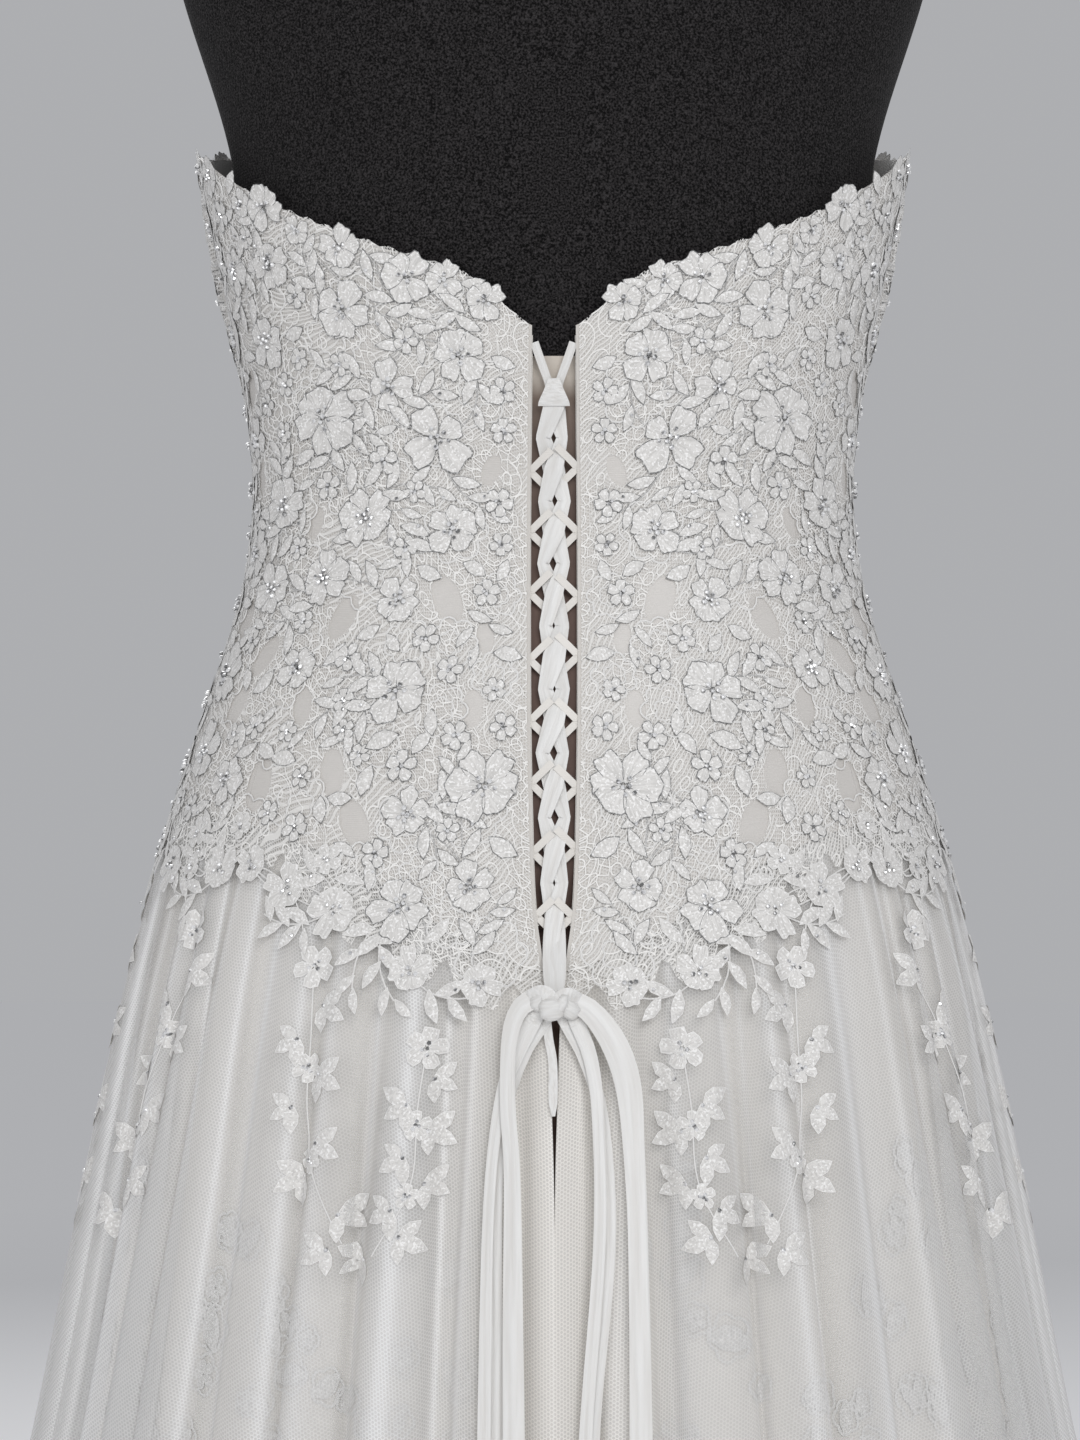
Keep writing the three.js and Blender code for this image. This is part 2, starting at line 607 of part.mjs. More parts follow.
// Loop tapes: a tape under each laced edge, with a loop standing out of it at each crossing
const loopZ = (level) => LOOPS.topZ - level * LOOPS.pitch;
const loopX = (z) => openingHalf(z) - LOOPS.inset;
const tapeOut = -(SATIN + TAPE.gap);
function loopTape(side) {
  const bottom = loopZ(LOOPS.count - 1) - 4;
  const top = loopZ(0) + 3;
  let made = solid(wall(1, LOOPS.count, (u, v, inside) => {
    const z = mix(bottom, top, v);
    const x = openingHalf(z) + mix(-TAPE.past, TAPE.under, u);
    return behind(side * x, z, tapeOut - (inside ? TAPE.wall : 0));
  }, side < 0));
  for (let level = 0; level < LOOPS.count; level++) {
    const z = loopZ(level);
    const outline = new THREE.Shape();
    const hole = new THREE.Path();
    const [w, d] = [LOOP_HOLE.width / 2, LOOP_HOLE.depth / 2];
    const square = (path, grow) => {
      path.moveTo(-w - grow, -d - grow);
      path.lineTo(w + grow, -d - grow);
      path.lineTo(w + grow, d + grow);
      path.lineTo(-w - grow, d + grow);
    };
    square(outline, LOOPS.bar);
    square(hole, 0);
    outline.holes.push(hole);
    const loop = new THREE.ExtrudeGeometry(outline, { depth: LOOPS.height, bevelEnabled: false });
    const at = behind(side * loopX(z), z, LACING_OUT);
    loop.translate(at.x, at.y, z - LOOPS.height / 2);
    made = made.add(solid(loop));
  }
  return geometryOf(made);
}
for (const { side, word } of SIDES) addPiece(`loop_tape_${word}`, loopTape(side), IVORY_SATIN);

// Modesty panel: a sheer strip behind the lacing, inside the bodice and the opening of the skirt
const MODESTY_HALF = 34;
const MODESTY_WALL = 1;
const MODESTY_ROWS = [ // stand-off from the outside of the cloth
  { z: 775, out: -20 },
  { z: 850, out: -12 },
  { z: 880, out: -9 },
  { z: 905, out: -5 },
  { z: 945, out: -4.4 },
  { z: 985, out: -4.4 },
  { z: 1025, out: -4.4 },
  { z: 1068, out: -4.4 },
  { z: 1112, out: -4.4 },
];
const modestySpans = MODESTY_ROWS.length - 1;
addPiece("modesty_panel", wall(4, modestySpans, (u, v, inside) => {
  const { z, out } = MODESTY_ROWS[Math.round(v * modestySpans)];
  const turn = turnAt(mix(-MODESTY_HALF, MODESTY_HALF, u), z);
  return cloth(turn, z, out - (inside ? MODESTY_WALL : 0));
}), NUDE_MESH);

// A flat ribbon along points of the back, with its width in the plane of the cloth
function ribbon(course, wallThickness) {
  const rings = course.map((at, i) => {
    const before = course[Math.max(i - 1, 0)];
    const after = course[Math.min(i + 1, course.length - 1)];
    const [dx, dz] = [after.x - before.x, after.z - before.z];
    const length = Math.hypot(dx, dz);
    const [sx, sz] = [(dz / length) * at.width * 0.5, (-dx / length) * at.width * 0.5];
    const half = wallThickness / 2;
    return [
      behind(at.x - sx, at.z - sz, at.out - half),
      behind(at.x + sx, at.z + sz, at.out - half),
      behind(at.x + sx, at.z + sz, at.out + half),
      behind(at.x - sx, at.z - sz, at.out + half),
    ];
  });
  return loft(rings);
}

// Lacing: each ribbon goes from side to side, over the other at one crossing and under it at the next
function lacingCourse(side) {
  const course = [];
  const end = LOOPS.count - 1;
  for (let level = 0; level < end; level++) {
    const from = level % 2 ? -side : side;
    for (const row of RIBBON_COURSE) {
      const reach = row.across > 0 ? loopX(loopZ(level)) : loopX(loopZ(level + 1));
      course.push({
        x: from * reach * row.across,
        z: loopZ(level) - row.down * LOOPS.pitch,
        out: LACING_OUT + RIBBON.over * row.over * from,
        width: mix(RIBBON.bunched, RIBBON.wide, row.width),
      });
    }
  }
  const last = end % 2 ? -side : side;
  const top = KNOT.z + KNOT.tall;
  course.push({ x: last * loopX(loopZ(end)), z: loopZ(end), out: LACING_OUT, width: RIBBON.bunched });
  course.push({ x: last * 3, z: top + 14, out: 1, width: RIBBON.bunched });
  course.push({ x: last * 1.8, z: top + 5, out: 4, width: RIBBON.bunched });
  course.push({ x: last * 1.6, z: top + 0.4, out: KNOT.out, width: RIBBON.bunched });
  return course;
}
for (const { side, word } of SIDES)
  addPiece(`lacing_${word}`, ribbon(lacingCourse(side), RIBBON.wall), RIBBON_SATIN);

// Bow: a knot, and ribbons that hang from it down the skirt
const knot = new THREE.SphereGeometry(1, 10, 7);
knot.scale(KNOT.x, KNOT.tall, KNOT.y);
knot.rotateX(Math.PI / 2);
knot.translate(0, behind(0, KNOT.z, KNOT.out).y, KNOT.z);
addPiece("bow_knot", knot, RIBBON_SATIN);
for (const [name, route] of Object.entries(BOW)) {
  const points = route.map((point) => new THREE.Vector3(...point));
  const curve = new THREE.CatmullRomCurve3(points, false, "centripetal");
  const tied = name.startsWith("bow_loop") ? 1 : Infinity; // a loop comes back to the knot
  const steps = Math.round(curve.getLength() / BOW_RIBBON.spacing);
  const course = curve.getSpacedPoints(steps).map((p, i) => {
    const share = i / steps;
    const fromKnot = Math.min(share, tied - share) / BOW_RIBBON.gather;
    const width = mix(BOW_RIBBON.bunched, BOW_RIBBON.width, Math.min(fromKnot, 1));
    return { x: p.x, z: p.y, out: p.z, width };
  });
  addPiece(name, ribbon(course, BOW_RIBBON.wall), RIBBON_SATIN);
}

// Dress form: torso, neck cap, pole and foot
function torso() {
  const underCloth = (z) => {
    const size = (name, ease) => along(SECTIONS, "z", name, z) - along(FORM_EASE, "z", ease, z);
    return { z, width: size("width", "sides"), back: size("back", "back"), front: size("front", "sides") };
  };
  const ring = ({ z, width, back, front }) =>
    Array.from({ length: FORM_COLUMNS }, (_, i) => {
      const p = sectionPoint((-2 * Math.PI * i) / FORM_COLUMNS, width, back, front);
      return new THREE.Vector3(p.x, p.y, z);
    });
  return loft([...FORM_RINGS.map(underCloth), ...FORM_TOP].map(ring));
}
function turned(profile, segments, y) {
  const lathe = new THREE.LatheGeometry(profile.map(([r, z]) => new THREE.Vector2(r, z)), segments);
  lathe.rotateX(Math.PI / 2);
  lathe.translate(0, y, 0);
  return lathe;
}
const neckTop = FORM_TOP[FORM_TOP.length - 1].z;
addPiece("form_torso", torso(), BLACK_JERSEY);
addPiece("form_neck_cap", turned([
  [0, neckTop + SEAM_GAP],
  [NECK_CAP.radius - NECK_CAP.bead, neckTop + SEAM_GAP],
  [NECK_CAP.radius, neckTop + NECK_CAP.bead],
  [NECK_CAP.radius - NECK_CAP.bead, neckTop + NECK_CAP.height - NECK_CAP.bead],
  [0, neckTop + NECK_CAP.height],
], 24, AXIS_Y), BLACK_METAL);
addPiece("form_pole", turned([
  [0, FOOT.height + SEAM_GAP],
  [POLE_RADIUS, FOOT.height + SEAM_GAP],
  [POLE_RADIUS, FORM_BOTTOM_Z - SEAM_GAP],
  [0, FORM_BOTTOM_Z - SEAM_GAP],
], 16, POLE_Y), BLACK_METAL);
addPiece("form_foot", turned([
  [0, 0],
  [FOOT.radius, 0],
  [FOOT.radius, FOOT.rim],
  [FOOT.hub, FOOT.height],
  [0, FOOT.height],
], 28, POLE_Y), BLACK_METAL);

export default dress;
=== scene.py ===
# A strapless ivory wedding dress on a black dress form, seen from the laced back: satin bodice under
# corded floral lace, satin underskirt, gathered tulle skirt, ribbon lacing with a long bow.
# Sizes are in millimetres until a mesh is made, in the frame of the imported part.
import math

import bmesh
import bpy
import numpy as np
from mathutils import Matrix, Vector
from mathutils.bvhtree import BVHTree


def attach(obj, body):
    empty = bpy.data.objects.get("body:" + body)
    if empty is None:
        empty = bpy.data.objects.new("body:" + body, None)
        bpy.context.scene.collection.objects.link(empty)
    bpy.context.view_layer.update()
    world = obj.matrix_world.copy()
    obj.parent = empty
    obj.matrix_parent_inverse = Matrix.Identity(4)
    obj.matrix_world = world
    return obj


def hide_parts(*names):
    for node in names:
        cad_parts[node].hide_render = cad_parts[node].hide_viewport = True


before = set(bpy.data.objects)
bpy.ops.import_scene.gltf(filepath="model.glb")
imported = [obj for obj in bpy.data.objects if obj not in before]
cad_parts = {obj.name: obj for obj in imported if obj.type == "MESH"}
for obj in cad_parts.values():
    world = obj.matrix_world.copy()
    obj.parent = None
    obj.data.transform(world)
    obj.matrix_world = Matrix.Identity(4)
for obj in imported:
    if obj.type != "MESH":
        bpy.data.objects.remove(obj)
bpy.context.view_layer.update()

# The dress form is a padded torso covered in black woven jersey, closed at the neck by a turned cap.
# It stands on a painted steel pole and a round foot, under the skirt.
MM = 0.001
AXIS_Y = -17.0
SQUARENESS = 2.25
CLOTH_SECTIONS = [  # height, half width, depth behind and depth before the side seams
    (10, 393, 400, 366),
    (200, 340, 331, 309),
    (400, 287, 266, 251),
    (653, 225, 191, 181),
    (757, 204, 162, 155),
    (844, 186, 139, 137),
    (887, 175, 128, 129),
    (930, 162, 117, 121),
    (973, 148, 105, 114),
    (1017, 134, 93, 106),
    (1060, 128.5, 88, 102),
    (1104, 132, 91, 108),
    (1146, 140, 96, 117),
    (1188, 149, 98, 121),
    (1240, 158, 98, 120),
]
TORSO_EASE = [  # height, and how far the torso stays inside the cloth at the sides and front, and behind
    (850, 30, 30),
    (900, 16, 18),
    (940, 6, 8),
    (973, 3.2, 6.9),
    (1060, 2.9, 6.6),
    (1140, 3, 6.6),
]
TORSO_TOP = [  # height, half width, depth behind, depth before
    (1165, 138, 90, 116),
    (1205, 138.5, 90, 114),
    (1277, 160, 90, 100),
    (1340, 176, 80, 82),
    (1378, 176, 68, 66),
    (1402, 160, 56, 55),
    (1420, 118, 52, 52),
    (1440, 74, 49, 50),
    (1470, 58, 46, 50),
    (1510, 55, 44, 50),
]
TORSO_RINGS = (860, 890, 920, 950, 985, 1020, 1060, 1100, 1135)


def smooth_between(rows, at):
    """Smooth values between the rows of a table, which goes by its first column."""
    table = np.asarray(rows, float)
    by, values = table[:, 0], table[:, 1:]
    at = np.clip(np.asarray(at, float), by[0], by[-1])
    low = np.clip(np.searchsorted(by, at, side="right") - 1, 0, len(by) - 2)
    ahead = np.minimum(np.arange(len(by)) + 1, len(by) - 1)
    behind = np.maximum(np.arange(len(by)) - 1, 0)
    slopes = (values[ahead] - values[behind]) / (by[ahead] - by[behind])[:, None]
    span = (by[low + 1] - by[low])[..., None]
    s = (at - by[low])[..., None] / span
    ease = s * s * (3 - 2 * s)
    leave = s * (1 - s) ** 2 * span * slopes[low]
    arrive = s * s * (s - 1) * span * slopes[low + 1]
    return values[low] + (values[low + 1] - values[low]) * ease + leave + arrive


def section_points(turn, sizes):
    """Points of rounded sections in plan; a turn is 0 at the centre back and 90 degrees at the left side."""
    s, c = np.sin(turn), np.cos(turn)
    depth = np.where(c > 0, sizes[..., 1], sizes[..., 2])
    power = 2 / SQUARENESS
    x = sizes[..., 0] * np.sign(s) * np.abs(s) ** power
    y = AXIS_Y + depth * np.sign(c) * np.abs(c) ** power
    return np.stack([x, y], -1)


def grid_piece(name, columns, rows, place, flipped=False):
    """A sheet from a bmesh grid; place(u, v) gives its points, and u and v are kept as its UV map."""
    bm = bmesh.new()
    bmesh.ops.create_grid(bm, x_segments=columns, y_segments=rows, size=0.5)
    bm.verts.ensure_lookup_table()
    uv = np.array([vert.co[:2] for vert in bm.verts]) + 0.5
    cloth_uv = bm.loops.layers.uv.new("cloth")
    for face in bm.faces:
        face.smooth = True
        for loop in face.loops:
            loop[cloth_uv].uv = uv[loop.vert.index]
    for edge in bm.edges:
        edge.smooth = not edge.is_boundary
    for vert, point in zip(bm.verts, place(uv[:, 0], uv[:, 1]) * MM):
        vert.co = point
    if flipped:
        bmesh.ops.reverse_faces(bm, faces=bm.faces)
    return object_from(name, bm), uv


def object_from(name, bm):
    mesh = bpy.data.meshes.new(name)
    bm.to_mesh(mesh)
    bm.free()
    piece = bpy.data.objects.new(name, mesh)
    bpy.context.collection.objects.link(piece)
    return piece


def settle(piece, material, slot, *nodes):
    """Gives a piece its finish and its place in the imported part."""
    piece.data.materials.clear()
    piece.data.materials.append(material)
    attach(piece, "root")
    if nodes:
        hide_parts(*nodes)


def new_finish(name, color, roughness, **sockets):
    material = bpy.data.materials.new(name)
    material.use_nodes = True
    surface = material.node_tree.nodes["Principled BSDF"]
    surface.inputs["Base Color"].default_value = (*color, 1)
    surface.inputs["Roughness"].default_value = roughness
    for socket, value in sockets.items():
        surface.inputs[socket.replace("_", " ")].default_value = value
    return material, surface


def add_node(material, kind, *sources, **values):
    """A node with its values set; each source is a pair of the input to feed and the output that feeds it."""
    node = material.node_tree.nodes.new(kind)
    for name, value in values.items():
        if hasattr(node, name):
            setattr(node, name, value)
        else:
            node.inputs[name.replace("_", " ")].default_value = value
    for target, source in sources:
        material.node_tree.links.new(source, node.inputs[target])
    return node


def feed(material, surface, socket, source):
    material.node_tree.links.new(source, surface.inputs[socket])


def color_ramp(material, source, *stops):
    """A ramp of greys or colours from a value."""
    ramp = add_node(material, "ShaderNodeValToRGB", ("Fac", source))
    while len(ramp.color_ramp.elements) < len(stops):
        ramp.color_ramp.elements.new(0.5)
    for element, (position, color) in zip(ramp.color_ramp.elements, stops):
        element.position = position
        element.color = (*color, 1) if len(color) == 3 else (color[0], color[0], color[0], 1)
    return ramp.outputs["Color"]


def math_node(material, operation, first, second):
    """A sum of two values, either of which is an output or a number."""
    node = add_node(material, "ShaderNodeMath", operation=operation)
    for socket, value in zip(node.inputs, (first, second)):
        if isinstance(value, (int, float)):
            socket.default_value = value
        else:
            material.node_tree.links.new(value, socket)
    return node.outputs["Value"]


MIX_FACTOR, MIX_FIRST, MIX_SECOND, MIX_RESULT = 0, 6, 7, 2


def mixed(material, share, first, second):
    """A colour between two, each of them an output or a fixed colour."""
    node = add_node(material, "ShaderNodeMix", data_type="RGBA")
    for socket, value in ((MIX_FACTOR, share), (MIX_FIRST, first), (MIX_SECOND, second)):
        if isinstance(value, tuple):
            node.inputs[socket].default_value = (*value, 1)
        else:
            material.node_tree.links.new(value, node.inputs[socket])
    return node.outputs[MIX_RESULT]


def object_at(material):
    return add_node(material, "ShaderNodeTexCoord").outputs["Object"]


def noise(material, at, scale, detail, **values):
    node = add_node(material, "ShaderNodeTexNoise", ("Vector", at), Scale=scale, Detail=detail, **values)
    return node.outputs["Fac"]


def waves(material, at, scale, direction, drift, **values):
    node = add_node(material, "ShaderNodeTexWave", ("Vector", at), Scale=scale, Distortion=drift, **values)
    node.bands_direction = direction
    return node.outputs["Fac"]


def add_bump(material, surface, height, strength, distance):
    bump = add_node(material, "ShaderNodeBump", ("Height", height), Strength=strength, Distance=distance)
    feed(material, surface, "Normal", bump.outputs["Normal"])


def close_up(bm, merge):
    """Merges a shape's doubles, caps its open ends and turns its faces outwards."""
    bmesh.ops.remove_doubles(bm, verts=bm.verts, dist=merge * MM)
    bmesh.ops.holes_fill(bm, edges=[edge for edge in bm.edges if edge.is_boundary], sides=0)
    bmesh.ops.recalc_face_normals(bm, faces=bm.faces)


def torso_table():
    """Sections of the torso: under the cloth they follow it, and above it they have their own sizes."""
    under = []
    for z in TORSO_RINGS:
        width, back, front = smooth_between(CLOTH_SECTIONS, z)
        sides, behind = smooth_between(TORSO_EASE, z)
        under.append((z, width - sides, back - behind, front - sides))
    return under + TORSO_TOP


TORSO_GRID = (96, 100)
TORSO_MERGE, STAND_MERGE = 0.02, 0.01
torso_rows = torso_table()
torso_low, torso_high = torso_rows[0][0], torso_rows[-1][0]


def torso_place(u, v):
    z = torso_low + (torso_high - torso_low) * v
    plan = section_points(-2 * math.pi * u, smooth_between(torso_rows, z))
    return np.column_stack([plan, z])


torso, _ = grid_piece("form_torso_cover", *TORSO_GRID, torso_place)
bm = bmesh.new()
bm.from_mesh(torso.data)
close_up(bm, TORSO_MERGE)
for edge in bm.edges:
    edge.smooth = True
bm.to_mesh(torso.data)
bm.free()

jersey, jersey_surface = new_finish(
    "black_jersey", (0.0165, 0.0152, 0.0158), 0.95, Sheen_Weight=0.03, Specular_IOR_Level=0.15
)
JERSEY_PITCH, JERSEY_DRIFT = 260, 1.2
jersey_at = object_at(jersey)
rib = waves(jersey, jersey_at, JERSEY_PITCH, "X", JERSEY_DRIFT)
course = waves(jersey, jersey_at, JERSEY_PITCH, "Z", JERSEY_DRIFT)
lint = noise(jersey, jersey_at, 1150, 1, Roughness=0.6)
lint_specks = color_ramp(jersey, lint, (0.38, (0.0006, 0.0005, 0.0006)), (0.75, (0.051, 0.0472, 0.0482)))
dust_share = math_node(jersey, "MULTIPLY", noise(jersey, jersey_at, 9, 2), 0.25)
feed(jersey, jersey_surface, "Base Color", mixed(jersey, dust_share, lint_specks, (0.012, 0.0108, 0.0112)))
add_bump(jersey, jersey_surface, math_node(jersey, "MULTIPLY", rib, course), 0.5, 0.0004)
settle(torso, jersey, "black_jersey", "form_torso")

stand_paint, stand_surface = new_finish("black_stand_paint", (0.012, 0.012, 0.013), 0.42, Metallic=0.2)
stand_grain = noise(stand_paint, object_at(stand_paint), 420, 3)
stand_rough = color_ramp(stand_paint, stand_grain, (0.3, (0.34,)), (0.7, (0.52,)))
feed(stand_paint, stand_surface, "Roughness", stand_rough)
STAND_PARTS = (  # node, then radius and height pairs up the side of the turned part
    ("form_neck_cap", ((42, 1510.3), (47, 1515), (46, 1519), (42, 1522), (20, 1525), (3, 1526))),
    ("form_pole", ((16, 26.3), (16, 300), (16, 600), (16, 859.7))),
    ("form_foot", ((166, 0), (170, 2), (170, 6), (166, 8.5), (90, 19), (40, 25), (34, 26))),
)
STAND_STEPS = 72
for node, outline in STAND_PARTS:
    bm = bmesh.new()
    verts = [bm.verts.new((radius * MM, 0, height * MM)) for radius, height in outline]
    edges = [bm.edges.new(pair) for pair in zip(verts, verts[1:])]
    whole = {"angle": 2 * math.pi, "steps": STAND_STEPS, "use_merge": True}
    bmesh.ops.spin(bm, geom=verts + edges, cent=(0, 0, 0), axis=(0, 0, 1), **whole)
    close_up(bm, STAND_MERGE)
    bmesh.ops.translate(bm, verts=bm.verts, vec=(0, AXIS_Y * MM, 0))
    for face in bm.faces:
        face.smooth = len(face.verts) < 5
    settle(object_from(node + "_turned", bm), stand_paint, "black_metal", node)

# The modesty panel is a strip of sheer brown mesh with a cream binding along its top, sewn inside the
# bodice behind the lacing so that the form doesn't show through the gap.
CUP = {"x": 82, "z": 1166, "rise": 23, "across": 46, "upright": 44}
OPENING = [  # height, half the gap between the laced edges
    (10, 0),
    (765, 0),
    (798, 0.5),
    (820, 1.3),
    (850, 2.3),
    (872, 4.6),
    (893, 7.4),
    (925, 8.6),
    (965, 9.4),
    (1030, 9.6),
    (1085, 9.2),
    (1130, 8.8),
    (1240, 8.8),
]
MODESTY = {"half": 34, "top": 1112, "bottom": 775}
MODESTY_OUT = [  # height, stand-off from the dress's surface
    (775, -20),
    (850, -12),
    (880, -9),
    (905, -5),
    (945, -4.4),
    (1112, -4.4),
]
SMALL_TURN = 0.01


def cloth_points(turn, z, out):
    """Points of the dress, moved straight out of its section."""
    turn, z, out = np.broadcast_arrays(np.asarray(turn, float), z, out)
    sizes = smooth_between(CLOTH_SECTIONS, z)
    here = section_points(turn, sizes)
    along = section_points(turn + SMALL_TURN, sizes) - section_points(turn - SMALL_TURN, sizes)
    along /= np.linalg.norm(along, axis=-1, keepdims=True)
    upright = np.exp(-(((z - CUP["z"]) / CUP["upright"]) ** 2))
    across = np.exp(-(((np.abs(here[..., 0]) - CUP["x"]) / CUP["across"]) ** 2))
    away = out + np.where(here[..., 1] < AXIS_Y, CUP["rise"] * upright * across, 0)
    return np.stack([here[..., 0] - along[..., 1] * away, here[..., 1] + along[..., 0] * away, z], -1)


def turn_at(x, z):
    """The turn at a distance sideways from the centre back."""
    width = smooth_between(CLOTH_SECTIONS, z)[..., 0]
    return np.sign(x) * np.arcsin((np.abs(x) / width) ** (SQUARENESS / 2))


def opening_half(z):
    return smooth_between(OPENING, z)[..., 0]


def opening_turn(z, band=0.0):
    return turn_at(opening_half(z) + band, z)


def cloth_at(material):
    return add_node(material, "ShaderNodeUVMap", uv_map="cloth").outputs["UV"]


def modesty_place(u, v):
    z = MODESTY["bottom"] + (MODESTY["top"] - MODESTY["bottom"]) * v
    return cloth_points(turn_at((2 * u - 1) * MODESTY["half"], z), z, smooth_between(MODESTY_OUT, z)[..., 0])


MODESTY_GRID = (24, 80)
modesty, _ = grid_piece("modesty_panel_mesh", *MODESTY_GRID, modesty_place, flipped=True)
mesh_brown, mesh_surface = new_finish("brown_mesh", (0.075, 0.047, 0.038), 0.7, Sheen_Weight=0.15)
mesh_height = add_node(mesh_brown, "ShaderNodeSeparateXYZ", ("Vector", cloth_at(mesh_brown))).outputs["Y"]
mesh_bands = color_ramp(
    mesh_brown,
    mesh_height,
    (0.0, (0.13, 0.075, 0.06)),
    (0.8, (0.16, 0.105, 0.085)),
    (0.95, (0.25, 0.19, 0.155)),
    (0.975, (0.66, 0.6, 0.53)),
)
feed(mesh_brown, mesh_surface, "Base Color", mesh_bands)
settle(modesty, mesh_brown, "nude_mesh", "modesty_panel")

# The bodice is ivory satin, cut in seven panels that are seamed from the lacing to the centre front.
# It shows as a plain band beside the lacing, through the gaps in the lace, and inside the front.
NECKLINE = [  # turn in degrees, height
    (0, 1121),
    (5, 1127),
    (9, 1139),
    (16, 1147),
    (28, 1157),
    (45, 1172),
    (62, 1188),
    (80, 1203),
    (100, 1212),
    (135, 1223),
    (152, 1217),
    (168, 1196),
    (180, 1182),
]
WAIST_SEAM = [  # turn in degrees, height
    (0, 866),
    (8, 877),
    (24, 905),
    (45, 922),
    (90, 928),
    (140, 910),
    (180, 880),
]
SATIN_WALL = 1.5
SEAM_HALF = 0.0004  # half a seam, in radians of turn
PANEL_PASSES = 4  # how often turn and height are fitted to each other
BODICE_PANELS = [  # name, turn of the first seam, turn of the last seam, width and length of the cut
    ("bodice_back", None, 48, 0.112, 0.31),
    ("bodice_side_back", 48, 92, 0.1, 0.29),
    ("bodice_cup", 92, 150, 0.155, 0.33),
]
FRONT_PANEL = ("bodice_center_front", 150, 210, 0.185, 0.345)
SIDES = ((1, "left"), (-1, "right"))


def half_turn(turn):
    return np.abs((np.degrees(turn) + 180) % 360 - 180)


def neckline_z(turn):
    return smooth_between(NECKLINE, half_turn(turn))[..., 0]


def seam_z(turn):
    return smooth_between(WAIST_SEAM, half_turn(turn))[..., 0]


def panel_turns(u, v, first, last, low, high, band=0.0):
    """Turns and heights of a panel between two seams, or from the laced edge where it has no first seam."""
    end = math.radians(last) - SEAM_HALF
    z = low(end) + (high(end) - low(end)) * v
    for _ in range(PANEL_PASSES):
        start = opening_turn(z, band) if first is None else math.radians(first) + SEAM_HALF
        turn = start + (end - start) * u
        z = low(turn) + (high(turn) - low(turn)) * v
    return turn, z


def satin_finish(name, dark, light):
    """Satin with a soft cloudy tone and a fine weft."""
    satin, surface = new_finish(name, light, 0.46, Sheen_Weight=0.1)
    at = object_at(satin)
    tone = color_ramp(satin, noise(satin, at, 16, 3), (0.3, dark), (0.7, light))
    feed(satin, surface, "Base Color", tone)
    add_bump(satin, surface, waves(satin, at, 420, "Z", 2), 0.12, 0.0003)
    return satin, surface, at, tone


EDGE_HALF, FADE = 0.0135, 0.002  # the plain band ends this far from the centre back, in metres
satin, _, _, _ = satin_finish("ivory_satin", (0.76, 0.73, 0.685), (0.83, 0.8, 0.755))
# The bodice satin is darker than the ivory satin of the underskirt: painted shade from the lace over it. The
# plain band beside the lacing has a flat tone of its own.
bodice_satin, bodice_surface, bodice_at, bodice_painted_shade_tone = satin_finish(
    "ivory_bodice_satin_painted_shade", (0.62, 0.595, 0.565), (0.7, 0.675, 0.645)
)
bodice_x = add_node(bodice_satin, "ShaderNodeSeparateXYZ", ("Vector", bodice_at)).outputs["X"]
band_share = add_node(
    bodice_satin,
    "ShaderNodeMapRange",
    ("Value", math_node(bodice_satin, "ABSOLUTE", bodice_x, 0.0)),
    From_Min=EDGE_HALF,
    From_Max=EDGE_HALF + FADE,
)
banded = mixed(bodice_satin, band_share.outputs["Result"], (0.645, 0.617, 0.58), bodice_painted_shade_tone)
feed(bodice_satin, bodice_surface, "Base Color", banded)


def add_wall(piece, thickness, offset=-1):
    wall = piece.modifiers.new("cloth wall", "SOLIDIFY")
    wall.thickness = thickness * MM
    wall.offset = offset


PANEL_GRID = (28, 56)


def add_panel(name, first, last, width, length, side, node):
    def place(u, v):
        turn, z = panel_turns(u, v, first, last, seam_z, neckline_z)
        return cloth_points(side * turn, z, 0)

    panel, _ = grid_piece(name, *PANEL_GRID, place, flipped=side > 0)
    add_wall(panel, SATIN_WALL)
    settle(panel, bodice_satin, "ivory_satin", node)


for panel_name, first, last, width, length in BODICE_PANELS:
    for side, word in SIDES:
        add_panel(f"{panel_name}_satin_{word}", first, last, width, length, side, f"{panel_name}_{word}")
add_panel(FRONT_PANEL[0] + "_satin", *FRONT_PANEL[1:], 1, FRONT_PANEL[0])

# The loop tapes are satin tapes under the laced edges. Flat rouleau loops are sewn to them at one point each,
# and their two legs spread towards the ribbon that they hold.
LOOP_COUNT, LOOP_TOP, LOOP_PITCH = 10, 1117, 25.4
LACING_OUT = -0.6
TAPE_OUT, TAPE_UNDER, TAPE_PAST, TAPE_WALL = -2.3, 6.0, 0.4, 0.5
TAPE_BELOW, TAPE_ABOVE = 4, 3  # how far the tape goes on past the last and the first loop
TAPE_GRID, LOOP_GRID = (3, 60), (2, 20)
LOOP_WIDE, LOOP_STAGGER, LOOP_WOBBLE = 2.9, 0.9, 2.1
FIRST_LOOP = 2
LOOP_LEGS = [  # shares of the way in from the edge, of the way up, and stand-off
    (1, 1, 1.15),
    (0.5, 0.52, 0.5),
    (0.1, 0.12, -0.7),
    (0, 0, -1),
    (0.1, -0.12, -1.2),
    (0.8, -0.8, -2),
]
LOOP_REACH, LOOP_SHARE = 8.4, 0.92  # how far a leg goes in, and at most this share of half the opening


def loop_z(level):
    return LOOP_TOP - LOOP_PITCH * level


def behind_points(x, z, out):
    """Points behind the dress, at a distance sideways from the centre back."""
    points = cloth_points(turn_at(x, z), z, 0)
    return np.stack([np.broadcast_to(x, points.shape[:-1]), points[..., 1] + out, points[..., 2]], -1)


def along_course(course, count):
    """Evenly spaced points on a smooth curve through a course."""
    steps = np.linalg.norm(np.diff(course[:, :3], axis=0), axis=1)
    at = np.concatenate([[0], np.cumsum(steps)])
    return smooth_between(np.column_stack([at, course]), np.linspace(0, at[-1], count))


POINTS_PER_ROW = 6


